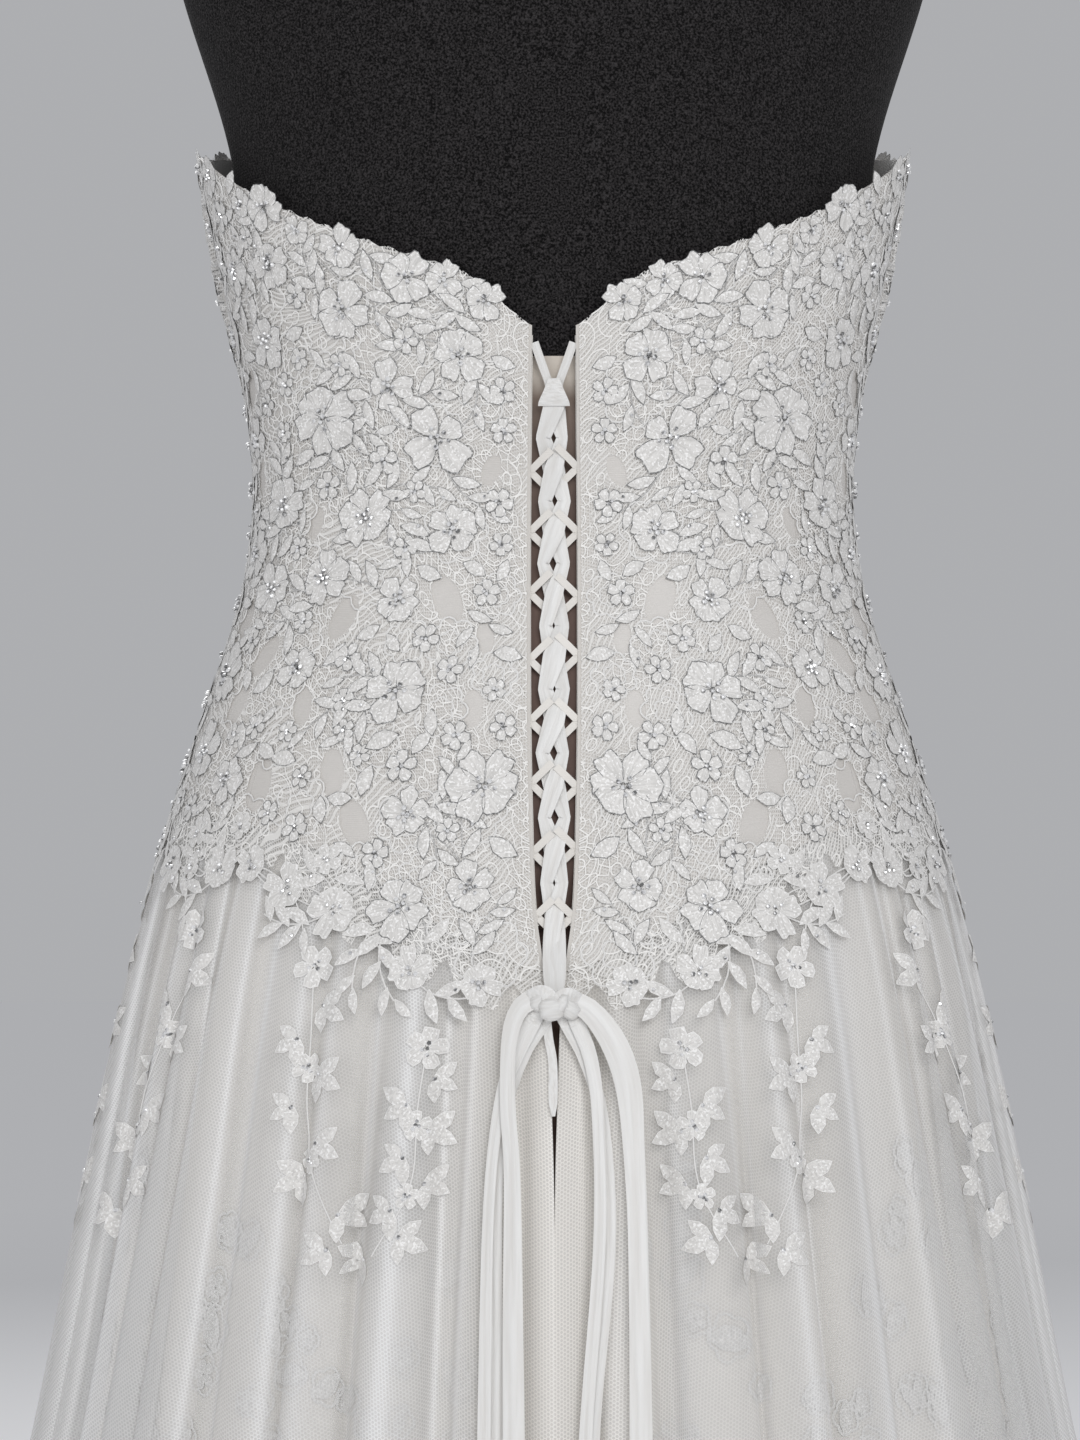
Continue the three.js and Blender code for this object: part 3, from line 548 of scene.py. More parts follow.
def ribbon_place(course, hollow):
    """A flat ribbon along a course, with its width in the plane of the cloth and its edges a little lower."""
    dense = along_course(course, POINTS_PER_ROW * len(course) + 1)
    at = np.linspace(0, 1, len(dense))
    slope = np.gradient(dense[:, :2], axis=0)
    slope /= np.linalg.norm(slope, axis=1, keepdims=True)

    def place(u, v):
        x, z, out, width = (np.interp(v, at, dense[:, i]) for i in range(4))
        dx, dz = np.interp(v, at, slope[:, 0]), np.interp(v, at, slope[:, 1])
        beside = (u - 0.5) * width
        curl = -hollow * (2 * u - 1) ** 2 * width / 8
        return behind_points(x + dz * beside, z - dx * beside, out + curl)

    return place


def tape_place(side):
    def place(u, v):
        length = LOOP_PITCH * (LOOP_COUNT - 1) + TAPE_BELOW + TAPE_ABOVE
        z = loop_z(LOOP_COUNT - 1) - TAPE_BELOW + length * v
        x = opening_half(z) - TAPE_PAST + (TAPE_PAST + TAPE_UNDER) * u
        return behind_points(side * x, z, TAPE_OUT)

    return place


for side, word in SIDES:
    tape, _ = grid_piece(f"loop_tape_satin_{word}", *TAPE_GRID, tape_place(side), flipped=side > 0)
    bm = bmesh.new()
    bm.from_mesh(tape.data)
    for level in range(FIRST_LOOP, LOOP_COUNT):
        z = loop_z(level) + side * LOOP_STAGGER * math.sin(LOOP_WOBBLE * level)
        sewn_at = float(opening_half(z))
        reach = min(LOOP_REACH, sewn_at * LOOP_SHARE)
        legs = []
        for inwards, up, out in LOOP_LEGS:
            legs.append((side * (sewn_at - reach * inwards), z + reach * up, out, LOOP_WIDE))
        strip = bmesh.ops.create_grid(bm, x_segments=LOOP_GRID[0], y_segments=LOOP_GRID[1], size=0.5)["verts"]
        uv = np.array([vert.co[:2] for vert in strip]) + 0.5
        for vert, point in zip(strip, ribbon_place(np.array(legs, float), 0)(*uv.T) * MM):
            vert.co = point
    for face in bm.faces:
        face.smooth = True
    for edge in bm.edges:
        edge.smooth = not edge.is_boundary
    bmesh.ops.recalc_face_normals(bm, faces=bm.faces)
    bm.to_mesh(tape.data)
    bm.free()
    add_wall(tape, TAPE_WALL)
    settle(tape, satin, "ivory_satin", f"loop_tape_{word}")

# The lace is a fine corded net over the whole bodice, cut to fall in scallops below the waist seam.
# Between its motifs it has leaf-shaped gaps that show the satin.
LACE_OUT = 0.6
LACE_OVERHANG, HEM_SCALLOP, HEM_SCALLOPS = 24, 5, 9
LACE_RISE, TOP_WAVE, TOP_WAVES = 0.8, 0.7, 90
LACE_FROM, LACE_TO = 5, 177  # turns between which motifs are strewn, in degrees
EDGE_END, EDGE_DRIFT, EDGE_STEPS = 178, 4, (0.6, 1.45)  # of the flowers along the edges
GAP_LONG, GAP_WIDE = 1.4, 0.75  # a gap's half sizes, as shares of its radius
FRAY_RISE, FRAY_DEPTH = 6, 10
FRAY_WAVES = [(5, 40, 0), (4, 97, 1)]  # height, count and shift of the waves of the net's lower end
EDGE_BAND, NET_BAND = 4.6, 1.3  # how far the motifs and the net stay from the laced edges
EDGE_REACH = 0.75  # the share of its radius by which a motif stays further off
SEED = 20
lace_random = np.random.default_rng(SEED)


def lace_hem_z(turn):
    return seam_z(turn) - LACE_OVERHANG + HEM_SCALLOP * np.cos(HEM_SCALLOPS * turn)


def lace_top_z(turn):
    return neckline_z(turn) + LACE_RISE + TOP_WAVE * np.sin(TOP_WAVES * turn)


def turn_per_mm(turn, z):
    gap = cloth_points(turn + SMALL_TURN, z, 0) - cloth_points(turn - SMALL_TURN, z, 0)
    return 2 * SMALL_TURN / np.linalg.norm(gap, axis=-1)


def scatter(taken, tries, count, radii, spacing, below, above):
    """Spots on the left half of the lace, clear of those taken and of its edges: turn, height, radius."""
    turn = np.radians(lace_random.uniform(LACE_FROM, LACE_TO, tries))
    radius = lace_random.uniform(*radii, tries)
    bottom, top = lace_hem_z(turn) + below, lace_top_z(turn) - above
    z = bottom + (top - bottom) * lace_random.uniform(0, 1, tries)
    points = cloth_points(turn, z, 0)
    clear = turn > opening_turn(z, EDGE_BAND + radius * EDGE_REACH)
    known = np.zeros((len(taken) + count, 4))
    known[: len(taken)] = taken
    filled, picked = len(taken), []
    for i in np.flatnonzero(clear):
        apart = np.linalg.norm(known[:filled, :3] - points[i], axis=1) - known[:filled, 3]
        if filled and apart.min() < radius[i] * spacing:
            continue
        known[filled] = (*points[i], radius[i])
        filled += 1
        picked.append((turn[i], z[i], radius[i]))
        if len(picked) == count:
            break
    return known[:filled], np.array(picked)


def edge_spots(height, start, step, radii):
    """Spots along an edge of the lace, about a step apart."""
    spots, turn = [], math.radians(start)
    while turn < math.radians(EDGE_END):
        z = float(height(turn)) + lace_random.uniform(-EDGE_DRIFT, EDGE_DRIFT)
        spots.append((turn, z, lace_random.uniform(*radii)))
        turn += step * lace_random.uniform(*EDGE_STEPS) * float(turn_per_mm(turn, z))
    return np.array(spots)


def known_spots(spots):
    return np.column_stack([cloth_points(spots[:, 0], spots[:, 1], 0), spots[:, 2]])


NECK_INSET, HEM_INSET = 6, 5
neck_flowers = edge_spots(lambda turn: lace_top_z(turn) - NECK_INSET, start=9.5, step=24, radii=(7, 13))
hem_flowers = edge_spots(lambda turn: lace_hem_z(turn) + HEM_INSET, start=7.5, step=27, radii=(9, 15))
taken_spots = np.concatenate([known_spots(neck_flowers), known_spots(hem_flowers)])
STREWN = {  # tries, most spots, radii, spacing, and how far they stay above the hem and below the top
    "gaps": (500, 28, (5, 8.5), 1.6, 34, 70),
    "big flowers": (6000, 80, (11, 18), 0.9, 18, 14),
    "small flowers": (9000, 120, (5.6, 8.4), 0.95, 6, 6),
    "leaves": (6000, 150, (4, 6), 0.8, -4, -2),
    "rings": (1500, 130, (9, 15), 0.6, 14, 12),
}
taken_spots, gap_spots = scatter(taken_spots, *STREWN["gaps"])
taken_spots, big_flowers = scatter(taken_spots, *STREWN["big flowers"])
taken_spots, small_flowers = scatter(taken_spots, *STREWN["small flowers"])
GAP_LEAN = 0.6
gap_leans = lace_random.uniform(-GAP_LEAN, GAP_LEAN, len(gap_spots))


def bare_share(turn, z):
    """How far a point of the lace lies inside a gap: above 0 is inside."""
    turn = np.abs((turn + math.pi) % (2 * math.pi) - math.pi)
    best = np.full(turn.shape, -1.0)
    for (spot_turn, spot_z, radius), lean in zip(gap_spots, gap_leans):
        across = (turn - spot_turn) / float(turn_per_mm(spot_turn, spot_z))
        up = z - spot_z
        along = (up * math.cos(lean) + across * math.sin(lean)) / (radius * GAP_LONG)
        beside = (across * math.cos(lean) - up * math.sin(lean)) / (radius * GAP_WIDE)
        best = np.maximum(best, 1 - np.sqrt(along**2 + beside**2))
    return best


def frayed_share(turn, z):
    """How far a point lies below the uneven lower end of the net: above 0 is below it."""
    end = lace_hem_z(turn) + FRAY_RISE
    for height, count, shift in FRAY_WAVES:
        end = end + height * np.sin(count * turn + shift)
    return (end - z) / FRAY_DEPTH


def lay_flat(piece, uv):
    """Lays a grid's UV map out in metres along its rows and columns, and gives the sheet's flat size."""
    columns, rows = len(np.unique(uv[:, 0].round(6))), len(np.unique(uv[:, 1].round(6)))
    order = np.lexsort((uv[:, 0].round(6), uv[:, 1].round(6)))
    points = np.array([vert.co for vert in piece.data.vertices])[order].reshape(rows, columns, 3)
    across = np.zeros((rows, columns))
    across[:, 1:] = np.cumsum(np.linalg.norm(np.diff(points, axis=1), axis=2), axis=1)
    up = np.zeros((rows, columns))
    up[1:] = np.cumsum(np.linalg.norm(np.diff(points, axis=0), axis=2), axis=0)
    flat = np.empty((len(uv), 2))
    flat[order] = np.stack([across, up], -1).reshape(-1, 2)
    corners = np.empty(len(piece.data.loops), np.int32)
    piece.data.loops.foreach_get("vertex_index", corners)
    piece.data.uv_layers["cloth"].uv.foreach_set("vector", flat[corners].ravel())
    return across[:, -1].max(), up[-1].max()


def declare_cut(piece, uv, share, digits, **words):
    """Lays a shaped sheet's UV map out flat in metres; the share of its area that it is given is not used."""
    width, length = lay_flat(piece, uv)


def store(piece, name, values):
    piece.data.attributes.new(name, "FLOAT", "POINT").data.foreach_set("value", values)


THREAD_EDGE = 0.06  # how softly a thread ends


def hex_net(material, uv, pitch, thread):
    """Threads of a net with round holes set in rows, from three waves: 1 on the threads, 0 in the holes."""
    total = 0.0
    for angle in (0, math.pi / 3, 2 * math.pi / 3):
        along = add_node(material, "ShaderNodeVectorMath", (0, uv), operation="DOT_PRODUCT")
        rate = 4 * math.pi / math.sqrt(3) / pitch
        along.inputs[1].default_value = (rate * math.cos(angle), rate * math.sin(angle), 0)
        total = math_node(material, "ADD", math_node(material, "COSINE", along.outputs["Value"], 0.0), total)
    level = math_node(material, "DIVIDE", math_node(material, "ADD", total, 1.5), 4.5)
    return color_ramp(material, level, (thread - THREAD_EDGE, (1,)), (thread + THREAD_EDGE, (0,)))


lace_net, net_surface = new_finish("ivory_lace_net", (0.93, 0.915, 0.887), 0.75, Sheen_Weight=0.2)
net_at, net_uv = object_at(lace_net), cloth_at(lace_net)
NET_PITCH, NET_THREAD, NET_SHARE = 0.0014, 0.3, 0.6
fine_net = math_node(lace_net, "MULTIPLY", hex_net(lace_net, net_uv, NET_PITCH, NET_THREAD), NET_SHARE)
zones = noise(lace_net, net_at, 34, 1)


def cells_of(feature, scale):
    """Distances in a flat pattern of cells on the net."""
    node = add_node(lace_net, "ShaderNodeTexVoronoi", ("Vector", net_uv), feature=feature, Scale=scale)
    node.voronoi_dimensions = "2D"
    return node.outputs["Distance"]


cell_lines = color_ramp(lace_net, cells_of("DISTANCE_TO_EDGE", 240), (0.05, (1,)), (0.08, (0,)))
cell_zones = color_ramp(lace_net, zones, (0.5, (0,)), (0.52, (1,)))
hatch = waves(lace_net, net_at, 270, "DIAGONAL", 26, Detail_Scale=0.13)
hatch_lines = color_ramp(lace_net, hatch, (0.5, (0,)), (0.75, (0.8,)))
hatch_zones = color_ramp(lace_net, zones, (0.49, (1,)), (0.5, (0,)))
SWIRL_SCALE, SWIRL_TURNS = 85, 5.0
swirl = math_node(lace_net, "MULTIPLY", cells_of("F1", SWIRL_SCALE), SWIRL_TURNS)
net_work = color_ramp(lace_net, math_node(lace_net, "PINGPONG", swirl, 1.0), (0.83, (0,)), (0.9, (1,)))
for lines, where in ((cell_lines, cell_zones), (hatch_lines, hatch_zones)):
    net_work = math_node(lace_net, "MAXIMUM", net_work, math_node(lace_net, "MULTIPLY", lines, where))
net_cover = math_node(lace_net, "MAXIMUM", net_work, fine_net)
bare = add_node(lace_net, "ShaderNodeAttribute", attribute_name="bare").outputs["Fac"]
kept = color_ramp(lace_net, bare, (0.5, (1,)), (0.54, (0,)))
feed(lace_net, net_surface, "Alpha", math_node(lace_net, "MULTIPLY", net_cover, kept))
add_bump(lace_net, net_surface, net_work, 0.5, 0.0005)
LACE_PIECES = [  # name, first seam, last seam, side, columns, node
    ("lace_net_back_left", None, 92, 1, 100, "lace_back_left"),
    ("lace_net_back_right", None, 92, -1, 100, "lace_back_right"),
    ("lace_net_front", 92, 268, 1, 200, "lace_front"),
]
LACE_ROWS = 150
LACE_SHARE = 0.86


def add_lace(name, first, last, side, columns, node):
    def spread(u, v):
        return panel_turns(u, v, first, last, lace_hem_z, lace_top_z, NET_BAND)

    def place(u, v):
        turn, z = spread(u, v)
        return cloth_points(side * turn, z, LACE_OUT)

    lace, uv = grid_piece(name, columns, LACE_ROWS, place, flipped=side > 0)
    at = spread(*uv.T)
    store(lace, "bare", 0.5 + 0.5 * np.maximum(bare_share(*at), frayed_share(*at)))
    settle(lace, lace_net, "ivory_lace", node)
    declare_cut(lace, uv, LACE_SHARE, 4, held="stretched", rests_on=["bodice_back_satin_left"])


for lace_row in LACE_PIECES:
    add_lace(*lace_row)

# The motifs are flowers and leaves in flat satin stitch with a thin cord round each petal, silver above and
# white towards the hem, on corded stems. They are sewn over the net, alike on both halves, and stand up past
# its edges.
FLOWERS = {  # width of a petal, segments, rise of its padding, lift of its tip, unevenness, width of its cord
    "big": (0.54, 18, 0.015, 0.02, 0.9, 0.11),
    "edge": (0.56, 18, 0.015, 0.04, 0.9, 0.13),
    "small": (0.46, 8, 0.035, 0.05, 0.4, 0.23),
}
LEAVES = {"long": (0.5, 0.05, 0.19), "round": (0.68, 0.05, 0.16)}  # width, rise, width of the cord
CORD_RISE, CROWN = 0.02, 0.6
PETAL = {"foot": 0.06, "narrow": 0.3, "taper": 0.7, "notch": 0.07, "ragged": 0.07, "bend": 0.12, "stray": 0.2}
PETAL_VARY, PETAL_TILTS = (0.4, 0.35, 1), (0.3, 1.4)  # in length, width and bend, and in lift
NOTCH_RATE, RAGS, RAG_SHIFT = 3.4, 5, 1.7
LEAF = {"segments": 10, "narrow": 0.3, "bend": 0.15, "long": 1.25, "lift": 0.06, "end": 0.02}
STITCH_SHIFT = 7.3  # so that no two motifs have the same stitches
motif_random = np.random.default_rng(SEED + 4)


def new_motif():
    bm = bmesh.new()
    bm.verts.layers.float.new("cord")
    bm.verts.layers.float_vector.new("stitch")
    return bm


def stitched_part(bm, segments, rise, rim):
    """A padded round of unit size inside a raised cord; its points keep their share of the cord."""
    before = set(bm.verts)
    bmesh.ops.create_circle(bm, segments=segments, radius=1, cap_ends=True)
    fresh = set(bm.verts) - before
    cap = [face for face in bm.faces if face.verts[0] in fresh]
    bmesh.ops.inset_region(bm, faces=cap, thickness=rim, depth=rise, use_boundary=True, use_even_offset=True)
    bmesh.ops.poke(bm, faces=cap, offset=rise * CROWN)
    made = [vert for vert in bm.verts if vert not in before]
    cord = bm.verts.layers.float["cord"]
    for vert in made:
        vert[cord] = math.hypot(vert.co.x, vert.co.y) > 1 - rim / 2
        vert.co.z += CORD_RISE * vert[cord]
    return made


def flower_motif(petals, petal_width, segments, rise, lift, uneven, rim):
    """A flower of unit radius with petals of uneven length, width and spacing."""
    bm = new_motif()
    stitch = bm.verts.layers.float_vector["stitch"]
    for petal in range(petals):
        fresh = stitched_part(bm, segments, rise, rim)
        long, wide, bend = 1 - uneven * motif_random.uniform(0, 1, 3) * PETAL_VARY
        tilt = lift * motif_random.uniform(*PETAL_TILTS)
        for vert in fresh:
            share = (vert.co.y + 1) / 2
            round_at = math.atan2(vert.co.x, vert.co.y)
            notch = PETAL["notch"] * math.cos(NOTCH_RATE * vert.co.x) * max(share - 0.5, 0)
            widening = PETAL["narrow"] + (1 - PETAL["narrow"]) * share ** PETAL["taper"]
            ragged = 1 + uneven * PETAL["ragged"] * math.cos(RAGS * round_at + RAG_SHIFT * petal)
            across = vert.co.x * petal_width * wide * widening * ragged
            along = long * (PETAL["foot"] + (1 - PETAL["foot"]) * share) * ragged - notch
            vert[stitch] = (vert.co.x, share, petal)
            vert.co.x = across + PETAL["bend"] * (bend - 0.5) * share**2
            vert.co.y = along
            vert.co.z += tilt * share**2
        stray = uneven * motif_random.uniform(-PETAL["stray"], PETAL["stray"])
        turned = 2 * math.pi * (petal + stray) / petals
        bmesh.ops.rotate(bm, verts=fresh, cent=(0, 0, 0), matrix=Matrix.Rotation(turned, 3, "Z"))
    return motif_arrays(bm)


def leaf_motif(width, rise, rim):
    bm = new_motif()
    stitch = bm.verts.layers.float_vector["stitch"]
    for vert in stitched_part(bm, LEAF["segments"], rise, rim):
        share = (vert.co.y + 1) / 2
        belly = math.sin(math.pi * min(max(share, LEAF["end"]), 1 - LEAF["end"]))
        across = vert.co.x * width * (LEAF["narrow"] + (1 - LEAF["narrow"]) * belly)
        vert[stitch] = (vert.co.y, vert.co.x, 0)
        vert.co.x = across + LEAF["bend"] * vert.co.y**2
        vert.co.y *= LEAF["long"]
        vert.co.z += LEAF["lift"] * share
    return motif_arrays(bm)


def motif_arrays(bm):
    """Points, triangles, cord shares, and places across and along the stitches, of a motif."""
    bmesh.ops.triangulate(bm, faces=bm.faces)
    bm.verts.index_update()
    cord, stitch = bm.verts.layers.float["cord"], bm.verts.layers.float_vector["stitch"]
    points = np.array([vert.co[:] for vert in bm.verts])
    triangles = np.array([[vert.index for vert in face.verts] for face in bm.faces])
    cords = np.array([vert[cord] for vert in bm.verts])
    stitches = np.array([vert[stitch][:] for vert in bm.verts])
    bm.free()
    return points, triangles, cords, stitches


def sewn(motif, spots, spins, out, relief, side, cording=1.0):
    """Copies of a motif on the cloth at spots of turn, height and radius; out may be found from the place."""
    points, triangles, cord, stitches = motif
    turn, z, radius = (spots[:, i, None] for i in range(3))
    c, s = np.cos(spins)[:, None], np.sin(spins)[:, None]
    across = (points[:, 0] * c - points[:, 1] * s) * radius
    heights = z + (points[:, 0] * s + points[:, 1] * c) * radius
    turns = turn + across * turn_per_mm(turn[:, 0], z[:, 0])[:, None]
    stand_off = out(side * turns, heights) if callable(out) else out
    placed = cloth_points(side * turns, heights, stand_off + points[:, 2] * radius * relief)
    first = (np.arange(len(spots)) * len(points))[:, None, None]
    faces = (triangles[None] + first).reshape(-1, 3)
    if side > 0:
        faces = faces[:, ::-1]
    stitched = np.tile(stitches, (len(spots), 1))
    stitched[:, 2] += np.repeat(np.arange(len(spots)) * STITCH_SHIFT, len(points))
    cords = np.broadcast_to(cording, len(spots))[:, None] * cord
    return placed.reshape(-1, 3), faces, cords.ravel(), stitched


def corded(lines, width, height, out, side, cord):
    """Raised cords along lines of turn and height on the cloth, all with the same number of points."""
    turns, z = lines[..., 0] * side, lines[..., 1]
    stand_off = out(turns, z) if callable(out) else out
    middle = cloth_points(turns, z, stand_off)
    top = cloth_points(turns, z, stand_off + height)
    along = np.gradient(middle, axis=1)
    beside = np.cross(top - middle, along)
    beside *= width / 2 / np.maximum(np.linalg.norm(beside, axis=-1, keepdims=True), 1e-6)
    rows = np.stack([middle - beside, top, middle + beside], 2)
    ids = np.arange(rows.size // 3).reshape(rows.shape[:3])
    a, b, c, d = ids[:, :-1, :-1], ids[:, 1:, :-1], ids[:, 1:, 1:], ids[:, :-1, 1:]
    faces = np.concatenate([np.stack([a, c, b], -1).reshape(-1, 3), np.stack([a, d, c], -1).reshape(-1, 3)])
    cords = np.repeat(np.broadcast_to(cord, len(rows)), ids[0].size)
    return rows.reshape(-1, 3), faces, cords, np.zeros((ids.size, 3))


def joined(name, bundles):
    """One mesh from several bundles of points, triangles, cord shares and stitches."""
    starts = np.cumsum([0] + [len(bundle[0]) for bundle in bundles])
    triangles = np.concatenate([bundle[1] + start for bundle, start in zip(bundles, starts)])
    points, cord, stitches = (np.concatenate([bundle[i] for bundle in bundles]) for i in (0, 2, 3))
    mesh = bpy.data.meshes.new(name)
    mesh.from_pydata(points * MM, [], triangles)
    mesh.polygons.foreach_set("use_smooth", np.ones(len(mesh.polygons), bool))
    piece = bpy.data.objects.new(name, mesh)
    bpy.context.collection.objects.link(piece)
    store(piece, "cord", cord)
    mesh.attributes.new("stitch", "FLOAT_VECTOR", "POINT").data.foreach_set("vector", stitches.ravel())
    return piece


SILVER_CORD, WHITE_CORD = 1.0, -1.0
lace_work, work_surface = new_finish("ivory_lace_embroidery", (0.86, 0.85, 0.83), 0.5, Sheen_Weight=0.2)
work_at = object_at(lace_work)
cord_share = add_node(lace_work, "ShaderNodeAttribute", attribute_name="cord").outputs["Fac"]
stitch_at = add_node(lace_work, "ShaderNodeAttribute", attribute_name="stitch").outputs["Vector"]
stitch_lines = add_node(lace_work, "ShaderNodeMapping", ("Vector", stitch_at), Scale=(8, 2.2, 1))
# The petal fill is painted lighter along the satin stitch lines, from the same noise as their bump: painted
# highlights on the stitches, over the thread's own tone.
silk = noise(lace_work, stitch_lines.outputs["Vector"], 1.0, 2)
silk_tone_with_painted_highlights = color_ramp(lace_work, silk, (0.36, (0.63, 0.618, 0.597)), (0.6, (0.8, 0.785, 0.762)))
# Small near-white specks on the petals are painted glints.
painted_glint_share = color_ramp(lace_work, noise(lace_work, work_at, 1100, 0), (0.6, (0,)), (0.68, (1,)))
silk_with_painted_glints = mixed(lace_work, painted_glint_share, silk_tone_with_painted_highlights, (0.96, 0.95, 0.935))
# The silver cord is painted in flecks from near black to near white: its grey is the cord's own, and the
# darkest and brightest flecks are painted shade and painted glints of the metal twist.
CORD_GREYS_AND_PAINTED_GLINTS = ((0.36, (0.12, 0.12, 0.121)), (0.55, (0.27, 0.27, 0.27)), (0.7, (0.8, 0.8, 0.79)))
cord_grey_and_painted_glints = color_ramp(lace_work, noise(lace_work, work_at, 900, 1), *CORD_GREYS_AND_PAINTED_GLINTS)
silver_share = color_ramp(lace_work, cord_share, (0.42, (0,)), (0.55, (1,)))
white_cord = math_node(lace_work, "MULTIPLY", cord_share, WHITE_CORD)
white_cord_share = color_ramp(lace_work, white_cord, (0.4, (0,)), (0.55, (1,)))
corded_silk = mixed(lace_work, silver_share, silk_with_painted_glints, cord_grey_and_painted_glints)
work_tone = mixed(lace_work, white_cord_share, corded_silk, (0.84, 0.83, 0.813))
feed(lace_work, work_surface, "Base Color", work_tone)
add_bump(lace_work, work_surface, silk, 0.15, 0.0005)

FLOWER_OUT, LEAF_OUT, STEM_OUT = 0.8, 0.72, 0.66
BIG_PETALS, PETALS = (5, 5, 6, 4), 5
big_motifs = [flower_motif(petals, *FLOWERS["big"]) for petals in BIG_PETALS]
neck_motif = flower_motif(PETALS, *FLOWERS["edge"])
hem_motif = flower_motif(PETALS, *FLOWERS["edge"])
small_motif = flower_motif(PETALS, *FLOWERS["small"])
long_leaf, round_leaf = leaf_motif(*LEAVES["long"]), leaf_motif(*LEAVES["round"])
STEM_POINTS, STEM_FROM, BRANCHES = 8, 0.1, 3
BRANCH_REACH, BRANCH_CURVE = (24, 42), (-1.3, 1.3)
BRANCH_BELOW, BRANCH_ABOVE, BRANCH_BESIDE = 22, 1, 2  # how far a stem may pass the hem and top, and keeps off
OFF_GAPS, STEMS_OFF_GAPS, LEAVES_BESIDE = -0.2, -0.1, 3
LEAF_RADII, LEAF_AWAY = (5.6, 4.2), 1.1
LEAF_PLACES = np.array([2, 3, 4, 5, 6, 7])
LEAF_HANDS = np.array([1, -1, 1, -1, 1, 0])
LEAF_SPLAY, LEAF_GAP, LEAF_OFF_FLOWERS = 0.75, 6.2, 0.85
RING_POINTS, RING_SCALLOP = 5, 0.22
STEM_CORD, RING_CORD = (0.7, 0.4), (0.8, 0.4)  # width, height
SILVER_ABOVE, STEM_CORDING = 24, 0.48


def branches_from(flowers, count):
    """Curved stems from flowers, as lines, and leaves beside them: turn, height, radius and spin."""
    rows = np.repeat(flowers, count, axis=0)
    angle = lace_random.uniform(0, 2 * math.pi, len(rows))
    reach = lace_random.uniform(*BRANCH_REACH, len(rows))
    curve = lace_random.uniform(*BRANCH_CURVE, len(rows))
    share = np.linspace(STEM_FROM, 1, STEM_POINTS)
    heading = angle[:, None] + curve[:, None] * share
    step = turn_per_mm(rows[:, 0], rows[:, 1])[:, None]
    across, up = reach[:, None] * share * np.cos(heading), reach[:, None] * share * np.sin(heading)
    lines = np.stack([rows[:, 0, None] + across * step, rows[:, 1, None] + up], -1)
    splay = LEAF_HANDS * LEAF_SPLAY
    radius = np.broadcast_to(np.linspace(*LEAF_RADII, len(LEAF_PLACES)), (len(rows), len(LEAF_PLACES)))
    facing = heading[:, LEAF_PLACES] + curve[:, None] * share[LEAF_PLACES] + splay
    turns = lines[:, LEAF_PLACES, 0] + radius * LEAF_AWAY * np.cos(facing) * step
    heights = lines[:, LEAF_PLACES, 1] + radius * LEAF_AWAY * np.sin(facing)
    leaves = np.stack([turns, heights, radius, facing - math.pi / 2], -1)
    turns, heights = lines[..., 0], lines[..., 1]
    inside = (heights > lace_hem_z(turns) - BRANCH_BELOW) & (heights < lace_top_z(turns) + BRANCH_ABOVE)
    inside &= (turns < math.pi) & (turns > opening_turn(heights, EDGE_BAND + BRANCH_BESIDE))
    on_lace = inside.all(axis=1)
    return lines[on_lace], leaves[on_lace].reshape(-1, 4)


def clear_of(rows, flowers, share):
    """The rows that lie off the gaps and off the flowers."""
    turns, heights = rows[:, 0], rows[:, 1]
    places, centres = cloth_points(turns, heights, 0), cloth_points(flowers[:, 0], flowers[:, 1], 0)
    apart = np.linalg.norm(places[:, None] - centres[None], axis=2)
    clear = (apart > flowers[:, 2] * share).all(axis=1) & (bare_share(turns, heights) < OFF_GAPS)
    clear &= (turns > opening_turn(heights, EDGE_BAND + LEAVES_BESIDE)) & (heights < lace_top_z(turns))
    return rows[clear]


def thinned(rows, gap):
    """The rows that keep a gap from those before them."""
    places, kept = cloth_points(rows[:, 0], rows[:, 1], 0), []
    for i, place in enumerate(places):
        if not kept or np.linalg.norm(places[kept] - place, axis=1).min() > gap:
            kept.append(i)
    return rows[kept]


def ring_lines(spots, petals, share):
    """Scalloped outlines round spots, as lines of turn and height."""
    angle = np.linspace(0, 2 * math.pi, petals * RING_POINTS + 1)
    reach = share * (1 - RING_SCALLOP + RING_SCALLOP * np.abs(np.sin(petals * angle / 2)))
    across, up = spots[:, 2, None] * reach * np.cos(angle), spots[:, 2, None] * reach * np.sin(angle)
    turns = spots[:, 0, None] + across * turn_per_mm(spots[:, 0], spots[:, 1])[:, None]
    return np.stack([turns, spots[:, 1, None] + up], -1)


def cord_for(spots):
    """The cord of motifs at spots of turn and height: silver, and white towards the hem."""
    silver = spots[:, 1] > lace_hem_z(spots[:, 0]) + SILVER_ABOVE
    return np.where(silver, SILVER_CORD, WHITE_CORD)


def spins_for(spots):
    return lace_random.uniform(0, 2 * math.pi, len(spots))


all_flowers = np.concatenate([big_flowers, small_flowers, neck_flowers, hem_flowers])
branch_from = np.concatenate([big_flowers, hem_flowers, neck_flowers])
stem_lines, branch_leaves = branches_from(branch_from, BRANCHES)
stem_bare = bare_share(stem_lines[..., 0], stem_lines[..., 1])
stem_lines = stem_lines[(stem_bare < STEMS_OFF_GAPS).all(axis=1)]
branch_leaves = thinned(clear_of(branch_leaves, all_flowers, LEAF_OFF_FLOWERS), LEAF_GAP)
taken_spots = np.concatenate([taken_spots, known_spots(branch_leaves)])
taken_spots, fill_leaves = scatter(taken_spots, *STREWN["leaves"])
fill_leaves = np.column_stack([fill_leaves, spins_for(fill_leaves)])
_, ring_spots = scatter(known_spots(gap_spots), *STREWN["rings"])
big_spins, small_spins = spins_for(big_flowers), spins_for(small_flowers)
neck_spins, hem_spins = spins_for(neck_flowers), spins_for(hem_flowers)
kinds = len(big_motifs)
